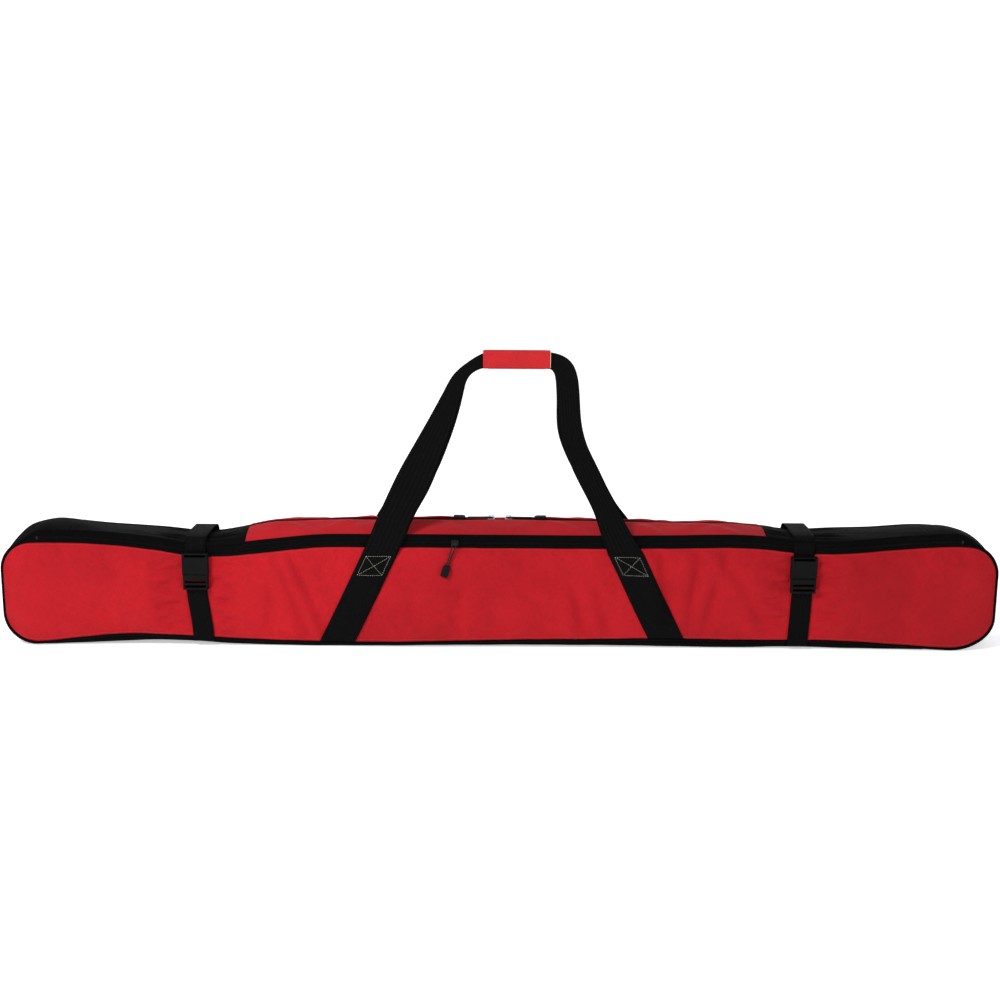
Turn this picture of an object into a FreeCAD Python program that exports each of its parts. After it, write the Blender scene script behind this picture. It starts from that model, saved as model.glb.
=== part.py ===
import FreeCAD, Part
import math
import os
import re
import Sketcher

# A long soft ski bag. X runs along its length, the front face looks towards -Y and +Z is up.
# The origin is under the middle of the bag, on the floor that its straps rest on.

SIZES = [
    # the sewn shell
    ("body_length", 1834),
    ("body_depth", 150),
    ("body_height", 215),
    ("corner_radius", 58),
    ("piping", 5),
    ("piping_round", 3),
    ("gusset_inset", 0.5),
    ("fabric", 1.5),
    ("foam", 5),
    ("end_gusset_run", 130),
    ("divider_place", -40),
    ("crown", 12),
    ("red_top_left", -466),
    ("red_top_right", 487),
    # clearances
    ("seat_gap", 0.3),
    ("run_gap", 0.35),
    # zips
    ("zip_band", 20),
    ("coil_width", 6),
    ("coil_thick", 1.7),
    ("tape_thick", 1),
    ("tape_lap", 6),
    ("tape_split", 0.6),
    ("zip_stop", 5),
    ("top_zip_margin", 14),
    ("slider_length", 13),
    ("slider_wall", 1.4),
    ("bail_radius", 4.5),
    ("bail_wire", 1.6),
    ("bail_rise", 1.6),
    ("front_slider_place", -82),
    ("top_slider_place", 16),
    # zip pulls
    ("pull_cord", 2.4),
    ("pull_reach", 44),
    ("pull_tilt", 18),
    ("grip_width", 14),
    ("grip_thick", 6),
    ("grip_length", 22),
    # compression straps and their side-release buckles
    ("strap_width", 38),
    ("strap_thick", 1.6),
    ("strap_place", 557),
    ("strap_tuck", 12),
    ("buckle_rim", 10),
    ("buckle_thick", 10),
    ("buckle_top", 181),
    ("socket_length", 40),
    ("plug_play", 0.5),
    ("plug_length", 28),
    ("prong_length", 27),
    ("prong_width", 7),
    ("buckle_wall", 2),
    ("slot_play", 0.5),
    ("slot_height", 5),
    # carry handles of wide webbing, sewn to the front and rear faces
    ("webbing_width", 57),
    ("webbing_thick", 2),
    ("stitch_top", 184),
    ("webbing_foot", 9),
    ("left_leg_place", -226),
    ("left_foot_place", -303),
    ("right_leg_place", 236),
    ("right_foot_place", 314),
    # the grip where both handles meet
    ("grip_place", 29),
    ("grip_middle", 528),
    ("fold_height", 28),
    ("fold_thick", 4.5),
    ("fold_gap", 1),
    ("wrap_length", 123),
    ("wrap_wall", 2),
    ("wrap_play", 2.5),
    ("lip_setback", 0.7),
    # grab handles on both ends
    ("grab_width", 50),
    ("grab_middle", 110),
    ("grab_span", 132),
    ("grab_tab", 16),
    ("grab_gap", 6.6),
    # webbing tab under the right end
    ("base_tab_inset", 113),
    ("base_tab_width", 47),
    ("base_tab_span", 120),
]
NAMES = {name for name, value in SIZES}

# Planes and faces that several pieces share, each worked out from the sizes.
HALF = "(body_length / 2)"
BASE = "(strap_thick + seat_gap)"
TOP = f"({BASE} + body_height)"
FRONT = "(-body_depth / 2)"
REAR = "(body_depth / 2)"
PIPED = "(piping + seat_gap)"
GUSSET_DEPTH = "(body_depth - 2 * piping - 2 * seat_gap)"
GUSSET_TOP = f"({TOP} - gusset_inset)"
GUSSET_BASE = f"({BASE} + gusset_inset)"
GUSSET_WALL = "(gusset_inset + fabric)"
SEAM = f"({HALF} - end_gusset_run)"
BAND_FOOT = f"({TOP} - piping - zip_band)"
FRONT_COIL = f"({TOP} - piping - zip_band / 2)"
TAPE_FRONT = f"({FRONT} + fabric + seat_gap)"
TAPE_TOP = f"({GUSSET_TOP} + crown - fabric - seat_gap)"
FOAM_FRONT = f"({TAPE_FRONT} + tape_thick + seat_gap)"
FOAM_REAR = f"({REAR} - fabric - seat_gap)"
FOAM_BASE = f"({GUSSET_BASE} + fabric + seat_gap)"
STRAP_FACE = f"({FRONT} - seat_gap)"
STRAP_OUTER = f"({STRAP_FACE} - strap_thick)"
BUCKLE_BACK = f"({STRAP_OUTER} - seat_gap)"
SOCKET_FOOT = "(buckle_top - socket_length)"
PLUG_TOP = f"({SOCKET_FOOT} - plug_play)"
WEBBING_INNER = f"({FRONT} - seat_gap)"
WEBBING_OUTER = f"({WEBBING_INNER} - webbing_thick)"
GRIP_LEFT = "(grip_place - wrap_length / 2)"
GRIP_RIGHT = "(grip_place + wrap_length / 2)"
FOLD_FOOT = "(grip_middle - fold_height / 2)"
FOLD_HEAD = "(grip_middle + fold_height / 2)"
FOLD_NEAR = "(fold_gap / 2)"
FOLD_FAR = f"({FOLD_NEAR} + fold_thick)"
WRAP_FOOT = f"({FOLD_FOOT} - seat_gap - wrap_wall)"
WRAP_HEAD = f"({FOLD_HEAD} + wrap_play + wrap_wall)"
SADDLE_TOP = "(coil_thick + run_gap + slider_wall)"

document = FreeCAD.newDocument("SkiBag")
sheet = document.addObject("Spreadsheet::Sheet", "Sizes")
for row, (name, value) in enumerate(SIZES, start=1):
    sheet.set(f"A{row}", name)
    sheet.set(f"B{row}", str(value))
    sheet.setAlias(f"B{row}", name)
document.recompute()

subparts = []


def tied(text):
    """The expression with each named size read from the sheet."""
    return re.sub(r"[A-Za-z_]\w*", lambda word: "Sizes." + word[0] if word[0] in NAMES else word[0], text)


def number(text):
    """The value that an expression has now."""
    return float(sheet.evalExpression(tied(text)))


def bind(thing, setting, text):
    """Ties one property to an expression of named sizes."""
    thing.setExpression(setting, tied(text))


def new_body(label):
    """An empty sub-part."""
    body = document.addObject("PartDesign::Body", label)
    body.Label = label
    subparts.append(body)
    return body


def tie_point(sketch, edge, end, corner):
    """Holds one end of an edge at a pair of expressions."""
    for kind, text in zip(("DistanceX", "DistanceY"), corner):
        index = sketch.addConstraint(Sketcher.Constraint(kind, -1, 1, edge, end, number(text)))
        bind(sketch, f"Constraints[{index}]", text)


def vector(corner):
    """The sketch point of a pair of expressions."""
    return FreeCAD.Vector(number(corner[0]), number(corner[1]), 0)


def stepped(corner, other, radius):
    """The point one radius from a corner towards its neighbour, along a sketch axis."""
    across = number(other[0]) - number(corner[0])
    upwards = number(other[1]) - number(corner[1])
    if abs(across) > abs(upwards):
        return (f"{corner[0]} + {radius} * {math.copysign(1, across):.0f}", corner[1])
    return (corner[0], f"{corner[1]} + {radius} * {math.copysign(1, upwards):.0f}")


def draw_loop(sketch, corners):
    """A closed outline. A corner is (u, v), or (u, v, radius) where both its sides follow the axes."""
    count = len(corners)
    ends = []
    for place, corner in enumerate(corners):
        if len(corner) == 3:
            entry = stepped(corner, corners[place - 1], corner[2])
            leave = stepped(corner, corners[(place + 1) % count], corner[2])
            ends.append((entry, leave, corner[2], corner))
        else:
            ends.append((corner, corner, None, corner))
    edges = []
    for place, (entry, leave, radius, corner) in enumerate(ends):
        if radius is not None:
            edges.append(draw_corner(sketch, entry, leave, radius, corner))
        following, _, next_radius, _ = ends[(place + 1) % count]
        line = sketch.addGeometry(Part.LineSegment(vector(leave), vector(following)))
        tie_point(sketch, line, 1, leave)
        if next_radius is not None:
            tie_point(sketch, line, 2, following)
        edges.append((line, 1, 2))
    for place, (edge, start, end) in enumerate(edges):
        other, other_start, other_end = edges[(place + 1) % len(edges)]
        sketch.addConstraint(Sketcher.Constraint("Coincident", edge, end, other, other_start))


def draw_corner(sketch, entry, leave, radius, corner):
    """A quarter circle between two points that lie one radius from a corner."""
    size = number(radius)
    start = vector(entry)
    finish = vector(leave)
    centre = start + finish - vector(corner)
    towards = (vector(corner) - centre).normalize()
    index = sketch.addGeometry(Part.Arc(start, centre + towards * size, finish))
    forward = (sketch.getPoint(index, 1) - start).Length < (sketch.getPoint(index, 2) - start).Length
    limit = sketch.addConstraint(Sketcher.Constraint("Radius", index, size))
    bind(sketch, f"Constraints[{limit}]", radius)
    return (index, 1, 2) if forward else (index, 2, 1)


def new_sketch(body, role, loops, offset):
    """A sketch on one of the body's own origin planes, moved along that plane's normal."""
    sketch = body.newObject("Sketcher::SketchObject", "Sketch")
    plane = [item for item in body.Origin.OriginFeatures if item.Role == role][0]
    sketch.AttachmentSupport = [(plane, "")]
    sketch.MapMode = "FlatFace"
    bind(sketch, ".AttachmentOffset.Base.z", offset)
    for corners in loops:
        draw_loop(sketch, corners)
    return sketch


def pad(body, role, loops, start, length):
    """Adds an extrusion from start to start + length along the plane's axis (Y, Z or X)."""
    offset = f"-({start} + {length})" if role == "XZ_Plane" else start
    feature = body.newObject("PartDesign::Pad", "Pad")
    feature.Profile = new_sketch(body, role, loops, offset)
    bind(feature, "Length", length)
    return body


def cut(body, role, loops, start, length):
    """Takes away an extrusion from start to start + length along the plane's axis."""
    document.recompute()
    before = body.Shape.Volume
    offset = f"-({start})" if role == "XZ_Plane" else f"{start} + {length}"
    feature = body.newObject("PartDesign::Pocket", "Pocket")
    feature.Profile = new_sketch(body, role, loops, offset)
    bind(feature, "Length", length)
    document.recompute()
    if body.Shape.Volume > before - 1e-6:
        raise ValueError(f"{body.Label}: a pocket takes nothing away")
    return body


def plate(label, role, loops, start, length):
    """A sub-part that is one extrusion."""
    return pad(new_body(label), role, loops, start, length)


def rectangle(low_u, low_v, high_u, high_v):
    """The corners of a plain rectangle."""
    return [(low_u, low_v), (high_u, low_v), (high_u, high_v), (low_u, high_v)]


def bag_outline(inset):
    """The bag's rounded side outline, moved inwards by an inset."""
    side = f"{HALF} - ({inset})"
    radius = f"(corner_radius - ({inset}))"
    foot = f"{BASE} + ({inset})"
    head = f"{TOP} - ({inset})"
    return [(f"-({side})", foot, radius), (side, foot, radius), (side, head, radius), (f"-({side})", head, radius)]


def round_edges(body, radius, chosen):
    """Rounds the edges of the body's last feature that a test picks."""
    document.recompute()
    tip = body.Tip
    names = [f"Edge{place}" for place, edge in enumerate(tip.Shape.Edges, start=1) if chosen(edge)]
    feature = body.newObject("PartDesign::Fillet", "Fillet")
    feature.Base = (tip, names)
    bind(feature, "Radius", radius)
    return body


def mirrored(label, source):
    """The rear twin of a sub-part on the front face."""
    twin = document.addObject("Part::Mirroring", label)
    twin.Label = label
    twin.Source = source
    twin.Base = FreeCAD.Vector(0, 0, 0)
    twin.Normal = FreeCAD.Vector(0, 1, 0)
    subparts.append(twin)
    return twin


# ---- shell ----

def make_faces():
    """Front and rear fabric panels, the piping round them and the foam behind them."""
    front = plate("front_panel", "XZ_Plane", [bag_outline(PIPED)], FRONT, "fabric")
    above = rectangle(f"-{HALF}", BAND_FOOT, HALF, f"{TOP} + 1")
    cut(front, "XZ_Plane", [above], f"{FRONT} - 1", "fabric + 2")
    plate("rear_panel", "XZ_Plane", [bag_outline(PIPED)], f"{REAR} - fabric", "fabric")

    piping = plate("front_piping", "XZ_Plane", [bag_outline("0"), bag_outline("piping")], FRONT, "piping")
    face = number(FRONT)
    round_edges(piping, "piping_round", lambda edge: on_outer_loop(edge, face))
    mirrored("rear_piping", piping)

    inset = f"{PIPED} + seat_gap"
    front_foam = plate("front_foam", "XZ_Plane", [bag_outline(inset)], FOAM_FRONT, "foam")
    above = rectangle(f"-{HALF}", f"{BAND_FOOT} - tape_lap - seat_gap", HALF, f"{TOP} + 1")
    cut(front_foam, "XZ_Plane", [above], f"{FOAM_FRONT} - 1", "foam + 2")
    plate("rear_foam", "XZ_Plane", [bag_outline(inset)], f"{FOAM_REAR} - foam", "foam")


def on_outer_loop(edge, face):
    """True for the edges of the piping's outer outline on its outside face."""
    box = edge.BoundBox
    flat = abs(box.YMin - face) < 0.01 and abs(box.YMax - face) < 0.01
    reach = number(HALF)
    outer_end = max(abs(box.XMin), abs(box.XMax)) > reach - 0.01
    outer_side = box.ZMax > number(TOP) - 0.01 or box.ZMin < number(BASE) + 0.01
    return flat and (outer_end or outer_side)


def make_gussets():
    """The strips that join the two faces: base, both ends, and the top with its red middle."""
    start = f"-{GUSSET_DEPTH} / 2"
    outer = f"({HALF} - gusset_inset)"
    inner = f"({HALF} - {GUSSET_WALL})"
    outer_round = "(corner_radius - gusset_inset)"
    inner_round = f"(corner_radius - {GUSSET_WALL})"
    for label, sign in (("left_end_gusset", "-1"), ("right_end_gusset", "1")):
        profile = [
            (f"{sign} * {SEAM}", GUSSET_BASE),
            (f"{sign} * {outer}", GUSSET_BASE, outer_round),
            (f"{sign} * {outer}", GUSSET_TOP, outer_round),
            (f"{sign} * {SEAM}", GUSSET_TOP),
            (f"{sign} * {SEAM}", f"{GUSSET_TOP} - fabric"),
            (f"{sign} * {inner}", f"{GUSSET_TOP} - fabric", inner_round),
            (f"{sign} * {inner}", f"{GUSSET_BASE} + fabric", inner_round),
            (f"{sign} * {SEAM}", f"{GUSSET_BASE} + fabric"),
        ]
        plate(label, "XZ_Plane", [profile], start, GUSSET_DEPTH)

    side = f"({SEAM} - seat_gap)"
    edge = f"({GUSSET_DEPTH} / 2)"
    low = f"({GUSSET_TOP} - fabric)"
    lip = "(zip_band / 2)"
    base = rectangle(f"-{side}", f"-{edge}", side, edge)
    plate("bottom_gusset", "XY_Plane", [base], GUSSET_BASE, "fabric")
    left = rectangle(f"-{side}", f"-{edge}", "red_top_left - seat_gap", edge)
    plate("left_top_gusset", "XY_Plane", [left], low, "fabric")
    right = rectangle("red_top_right + seat_gap", f"-{edge}", side, edge)
    plate("right_top_gusset", "XY_Plane", [right], low, "fabric")
    level = f"({lip} + tape_lap + 1)"
    slope = [
        (f"-{edge}", low), (f"-{level}", f"{low} + crown"), (f"-{lip}", f"{low} + crown"),
        (f"-{lip}", f"{GUSSET_TOP} + crown"), (f"-{level}", f"{GUSSET_TOP} + crown"), (f"-{edge}", GUSSET_TOP),
    ]
    front = plate("top_gusset_front", "YZ_Plane", [slope], "red_top_left", "red_top_right - red_top_left")
    mirrored("top_gusset_rear", front)

    foam_side = f"({SEAM} + corner_radius)"
    pad_edge = f"({REAR} - fabric - foam - 2 * seat_gap)"
    front_edge = f"({FOAM_FRONT} + foam + seat_gap)"
    foam = rectangle(f"-{foam_side}", front_edge, foam_side, pad_edge)
    plate("base_foam", "XY_Plane", [foam], FOAM_BASE, "foam")


def make_divider():
    """The fabric wall between the front and the main compartment."""
    inset = f"({GUSSET_WALL} + seat_gap)"
    divider = plate("divider", "XZ_Plane", [bag_outline(inset)], "divider_place - fabric / 2", "fabric")
    below = rectangle(f"-{HALF}", f"{BASE} - 1", HALF, f"{FOAM_BASE} + foam + seat_gap")
    cut(divider, "XZ_Plane", [below], "divider_place - fabric", "2 * fabric")


# ---- zips ----

def make_front_zip():
    """Both tapes, the coil and the end stops along the top edge of the front face."""
    start = TAPE_FRONT
    lower = plate("front_zip_lower_tape", "XZ_Plane", [bag_outline(PIPED)], start, "tape_thick")
    split = f"({FRONT_COIL} - tape_split / 2)"
    above = rectangle(f"-{HALF}", split, HALF, f"{TOP} + 1")
    below = rectangle(f"-{HALF}", f"{BASE} - 1", HALF, f"{BAND_FOOT} - tape_lap")
    cut(lower, "XZ_Plane", [above, below], f"{start} - 1", "tape_thick + 2")

    upper = plate("front_zip_upper_tape", "XZ_Plane", [bag_outline(PIPED)], start, "tape_thick")
    below = rectangle(f"-{HALF}", f"{BASE} - 1", HALF, f"{FRONT_COIL} + tape_split / 2")
    cut(upper, "XZ_Plane", [below], f"{start} - 1", "tape_thick + 2")

    side = f"({HALF} - corner_radius)"
    low = f"({FRONT_COIL} - coil_width / 2)"
    high = f"({FRONT_COIL} + coil_width / 2)"
    depth = "coil_thick"
    face = f"({TAPE_FRONT} - coil_thick)"
    coil = rectangle(f"-{side} + zip_stop", low, f"{side} - zip_stop", high)
    plate("front_zip_coil", "XZ_Plane", [coil], face, depth)
    left = rectangle(f"-{side}", low, f"-{side} + zip_stop - seat_gap", high)
    right = rectangle(f"{side} - zip_stop + seat_gap", low, side, high)
    stops = plate("front_zip_stop_left", "XZ_Plane", [left], face, depth)
    round_edges(stops, "seat_gap", lambda edge: edge.Length > 0)
    stops = plate("front_zip_stop_right", "XZ_Plane", [right], face, depth)
    round_edges(stops, "seat_gap", lambda edge: edge.Length > 0)


def make_top_zip():
    """Both tapes, the coil and the end stops along the crest."""
    left_end = "(red_top_left + top_zip_margin)"
    right_end = "(red_top_right - top_zip_margin)"
    low = f"({TAPE_TOP} - tape_thick)"
    reach = "(zip_band / 2 + tape_lap)"
    front = rectangle("red_top_left", f"-{reach}", "red_top_right", "-tape_split / 2")
    plate("top_zip_front_tape", "XY_Plane", [front], low, "tape_thick")
    rear = rectangle("red_top_left", "tape_split / 2", "red_top_right", reach)
    plate("top_zip_rear_tape", "XY_Plane", [rear], low, "tape_thick")
    half = "(coil_width / 2)"
    coil = rectangle(f"{left_end} + zip_stop", f"-{half}", f"{right_end} - zip_stop", half)
    plate("top_zip_coil", "XY_Plane", [coil], TAPE_TOP, "coil_thick")
    left = rectangle(left_end, f"-{half}", f"{left_end} + zip_stop - seat_gap", half)
    right = rectangle(f"{right_end} - zip_stop + seat_gap", f"-{half}", right_end, half)
    stop = plate("top_zip_stop_left", "XY_Plane", [left], TAPE_TOP, "coil_thick")
    round_edges(stop, "seat_gap", lambda edge: edge.Length > 0)
    stop = plate("top_zip_stop_right", "XY_Plane", [right], TAPE_TOP, "coil_thick")
    round_edges(stop, "seat_gap", lambda edge: edge.Length > 0)


def make_slider(label, place, turned):
    """A slider that straddles the coil, with a wire bail. Built on the tape, at the origin."""
    slider = new_body(label)
    inner = "(coil_width / 2 + run_gap)"
    outer = f"({inner} + slider_wall)"
    ceiling = "(coil_thick + run_gap)"
    saddle = [
        (f"-{outer}", "run_gap"), (f"-{inner}", "run_gap"), (f"-{inner}", ceiling), (inner, ceiling),
        (inner, "run_gap"), (outer, "run_gap"), (outer, SADDLE_TOP), (f"-{outer}", SADDLE_TOP),
    ]
    pad(slider, "YZ_Plane", [saddle], "-slider_length / 2", "slider_length")
    top = number(SADDLE_TOP)
    round_edges(slider, "slider_wall / 2", lambda edge: edge.BoundBox.ZMin > top - 0.01)
    add_bail(slider)
    slider.Placement = FreeCAD.Placement(FreeCAD.Vector(), FreeCAD.Rotation(FreeCAD.Vector(1, 0, 0), turned))
    for axis, text in zip("xyz", place):
        bind(slider, f".Placement.Base.{axis}", text)
    return slider


def add_bail(slider):
    """The arch that stands on the saddle, along the zip."""
    outer = "(bail_radius + bail_wire / 2)"
    inner = "(bail_radius - bail_wire / 2)"
    foot = f"({SADDLE_TOP} - slider_wall / 2)"
    crown = f"({SADDLE_TOP} + bail_rise + bail_radius + bail_wire / 2)"
    bend = "bail_radius"
    tight = "(bail_radius - bail_wire)"
    arch = [
        (f"-{outer}", foot), (f"-{outer}", crown, bend), (outer, crown, bend), (outer, foot),
        (inner, foot), (inner, f"{crown} - bail_wire", tight), (f"-{inner}", f"{crown} - bail_wire", tight),
        (f"-{inner}", foot),
    ]
    pad(slider, "XZ_Plane", [arch], "-bail_wire / 2", "bail_wire")


# Points of a pull's cord, as (sideways, down) from the bail wire that it hangs on. It runs up from
# the moulded grip, round the wire and back down to the grip.
PULL_ROUTE = [
    (1.5, -44), (1.5, -28), (2.4, -14), (3.2, -5), (2.9, 2.7),
    (-2.9, 2.7), (-3.2, -5), (-2.4, -14), (-1.5, -28), (-1.5, -44),
]


def cord_wire(points):
    """Straight runs joined by tangent arcs, each arc as large as its two runs allow."""
    edges = []
    radii = []
    last = points[0]
    for before, corner, after in zip(points, points[1:], points[2:]):
        inward = (corner - before).normalize()
        outward = (after - corner).normalize()
        turn = inward.getAngle(outward)
        shorter = min((corner - before).Length, (after - corner).Length)
        radius = 0.45 * shorter / math.tan(turn / 2)
        trim = 0.45 * shorter
        start = corner - inward * trim
        finish = corner + outward * trim
        middle = (outward - inward).normalize()
        centre = corner + middle * (radius / math.cos(turn / 2))
        edges.append(Part.LineSegment(last, start).toShape())
        edges.append(Part.Arc(start, centre - middle * radius, finish).toShape())
        radii.append(radius)
        last = finish
    edges.append(Part.LineSegment(last, points[-1]).toShape())
    return Part.Wire(edges), radii


def make_pull_cord(label):
    """The doubled cord of a zip pull, hanging from the origin along -Z."""
    reach = number("pull_reach") / -PULL_ROUTE[0][1]
    points = [FreeCAD.Vector(0, side, down * reach if down < -5 else down) for side, down in PULL_ROUTE]
    wire, radii = cord_wire(points)
    thick = number("pull_cord")
    start = wire.Vertexes[0].Point
    section = Part.Wire(Part.Circle(start, points[1] - points[0], thick / 2).toShape())
    tube = wire.makePipeShell([section], True, False)
    ideal = wire.Length * math.pi * thick ** 2 / 4
    if abs(tube.Volume - ideal) > 0.02 * ideal:
        raise ValueError(f"{label}: the tube's volume {tube.Volume:.1f} is not {ideal:.1f}")
    print(label, f"length {wire.Length:.1f} mm, radii", [round(radius, 1) for radius in radii])
    cord = document.addObject("Part::Feature", label)
    cord.Label = label
    cord.Shape = tube
    subparts.append(cord)
    return cord


def make_grip(label, quarter_turn):
    """The moulded end of a zip pull, below the cord's two ends."""
    wide = "grip_thick" if quarter_turn else "grip_width"
    deep = "grip_width" if quarter_turn else "grip_thick"
    grip = new_body(label)
    side = f"({wide} / 2)"
    profile = [
        (f"-{side} + grip_thick / 4", "-pull_reach"), (f"{side} - grip_thick / 4", "-pull_reach"),
        (side, "-pull_reach - grip_length / 4"), (side, "-pull_reach - grip_length"),
        (f"-{side}", "-pull_reach - grip_length"), (f"-{side}", "-pull_reach - grip_length / 4"),
    ]
    pad(grip, "XZ_Plane", [profile], f"-{deep} / 2", deep)
    foot = number("-pull_reach - grip_length")
    round_edges(grip, "grip_thick / 4", lambda edge: edge.BoundBox.ZMax < foot + 0.01)
    return grip


def make_pull(prefix, place, turn_axis, degrees, quarter_turn):
    """A cord and its grip, turned from hanging and moved to the bail."""
    cord = make_pull_cord(f"{prefix}_cord")
    grip = make_grip(f"{prefix}_grip", quarter_turn)
    turn = FreeCAD.Rotation(turn_axis, degrees)
    cord.Placement = FreeCAD.Placement(FreeCAD.Vector(*[number(text) for text in place]), turn)
    grip.Placement = FreeCAD.Placement(FreeCAD.Vector(), turn)
    for axis, text in zip("xyz", place):
        bind(grip, f".Placement.Base.{axis}", text)


def make_sliders():
    """One slider on the front zip and two that meet in the middle of the top zip, each with its pull."""
    across = FreeCAD.Vector(0, 1, 0)
    front_bail = f"({TAPE_FRONT} - {SADDLE_TOP} - bail_rise - bail_radius)"
    make_slider("front_zip_slider", ("front_slider_place", TAPE_FRONT, FRONT_COIL), 90)
    make_pull("front_pull", ("front_slider_place", front_bail, FRONT_COIL), across, number("pull_tilt"), False)
    height = f"({TAPE_TOP} + {SADDLE_TOP} + bail_rise)"
    for side, sign in (("left", -1), ("right", 1)):
        place = f"({sign} * top_slider_place)"
        make_slider(f"top_{side}_zip_slider", (place, "0", TAPE_TOP), 0)
        leg = f"{place} + {sign} * bail_radius"
        make_pull(f"top_{side}_pull", (leg, "0", height), across, -sign * 90, True)


# ---- compression straps ----

def make_strap(side, sign):
    """One strap round the bag, closed at the front by a side-release buckle."""
    place = f"{sign} * strap_place"
    start = f"{place} - strap_width / 2"
    outer = f"(-{STRAP_OUTER})"
    inner = f"(-{STRAP_FACE})"
    bend = "(piping_round + strap_thick)"
    upper_end = "(buckle_top - strap_tuck)"
    lower_end = f"({BASE} + piping_round)"
    head = f"({TOP} + seat_gap)"
    round_the_bag = [
        (f"-{outer}", upper_end),
        (f"-{outer}", f"{head} + strap_thick", bend),
        (outer, f"{head} + strap_thick", bend),
        (outer, "0", bend),
        (f"-{outer}", "0", bend),
        (f"-{outer}", f"{lower_end} + 2"),
        (f"-{inner}", f"{lower_end} + 2"),
        (f"-{inner}", "strap_thick", "piping_round"),
        (inner, "strap_thick", "piping_round"),
        (inner, head, "piping_round"),
        (f"-{inner}", head, "piping_round"),
        (f"-{inner}", upper_end),
    ]
    plate(f"{side}_strap_loop", "YZ_Plane", [round_the_bag], start, "strap_width")
    lower_top = f"({PLUG_TOP} - plug_length + strap_tuck)"
    run = rectangle(start, f"{lower_end} + 2 + seat_gap", f"{place} + strap_width / 2", lower_top)
    plate(f"{side}_strap_front_run", "XZ_Plane", [run], STRAP_OUTER, "strap_thick")
    make_socket(side, place)
    make_plug(side, place)


def make_socket(side, place):
    """The female half, which holds the upper end of the strap."""
    half = "((strap_width + buckle_rim) / 2)"
    start = f"({BUCKLE_BACK} - buckle_thick)"
    outline = rectangle(f"{place} - {half}", SOCKET_FOOT, f"{place} + {half}", "buckle_top")
    socket = plate(f"{side}_buckle_socket", "XZ_Plane", [outline], start, "buckle_thick")
    face = number(start)
    round_edges(socket, "buckle_wall", lambda edge: on_front_rim(edge, face))
    room = f"({half} - 2 * buckle_wall)"
    mouth = rectangle(f"{place} - {room}", f"{start} + buckle_wall", f"{place} + {room}",
                      f"{BUCKLE_BACK} - buckle_wall")
    cut(socket, "XY_Plane", [mouth], f"{SOCKET_FOOT} - 1", "prong_length + 2 + 1")
    window = rectangle(f"{start} + 1.5 * buckle_wall", f"{SOCKET_FOOT} + 4 * buckle_wall",
                       f"{BUCKLE_BACK} - 1.5 * buckle_wall", f"{SOCKET_FOOT} + prong_length - buckle_wall")
    cut(socket, "YZ_Plane", [window], f"{place} - {half} - 1", "(strap_width + buckle_rim) + 2")
    slot = rectangle(f"{place} - strap_width / 2 - slot_play", "buckle_top - buckle_wall - slot_height",
                     f"{place} + strap_width / 2 + slot_play", "buckle_top - buckle_wall")
    cut(socket, "XZ_Plane", [slot], f"{start} - 1", "buckle_thick + 2")


def on_front_rim(edge, face):
    """True for the edges round a buckle's front face."""
    box = edge.BoundBox
    return abs(box.YMin - face) < 0.01 and abs(box.YMax - face) < 0.01


def make_plug(side, place):
    """The male half: a ladder-lock base, two spring prongs and a guide between them."""
    half = "((strap_width + buckle_rim) / 2 - 1)"
    start = f"({BUCKLE_BACK} - buckle_thick)"
    foot = f"({PLUG_TOP} - plug_length)"
    outline = rectangle(f"{place} - {half}", foot, f"{place} + {half}", PLUG_TOP)
    plug = plate(f"{side}_buckle_plug", "XZ_Plane", [outline], start, "buckle_thick")
    face = number(start)
    round_edges(plug, "buckle_wall", lambda edge: on_front_rim(edge, face))
    reach = "((strap_width + buckle_rim) / 2 - 2 * buckle_wall - run_gap)"
    low = f"({PLUG_TOP} - 1)"
    high = f"({PLUG_TOP} + prong_length)"
    left = rectangle(f"{place} - {reach}", low, f"{place} - {reach} + prong_width", high)
    right = rectangle(f"{place} + {reach} - prong_width", low, f"{place} + {reach}", high)
    guide = rectangle(f"{place} - prong_width / 2", low, f"{place} + prong_width / 2", f"{high} - 5")
    thin = "(buckle_thick - 2 * buckle_wall - 2 * run_gap)"
    pad(plug, "XZ_Plane", [left, right, guide], f"{start} + buckle_wall + run_gap", thin)
    for rise in ("2 * buckle_wall", "4 * buckle_wall + slot_height"):
        slot = rectangle(f"{place} - strap_width / 2 - slot_play", f"{foot} + {rise}",
                         f"{place} + strap_width / 2 + slot_play", f"{foot} + {rise} + slot_height")
        cut(plug, "XZ_Plane", [slot], f"{start} - 1", "buckle_thick + 2")


# ---- carry handles ----

def make_webbing_base(side, top_place, foot_place):
    """The length of handle webbing that is sewn flat to the front face, and its rear twin."""
    slope = f"(({top_place} - ({foot_place})) / (stitch_top - webbing_foot))"
    half = f"(webbing_width / 2 * sqrt(1 + {slope} * {slope}))"
    head = "stitch_top - seat_gap"
    outline = [
        (f"{foot_place} - {half}", "webbing_foot"), (f"{foot_place} + {half}", "webbing_foot"),
        (f"{top_place} + {half}", head), (f"{top_place} - {half}", head),
    ]
    base = plate(f"front_{side}_webbing", "XZ_Plane", [outline], WEBBING_OUTER, "webbing_thick")
    mirrored(f"rear_{side}_webbing", base)


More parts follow.
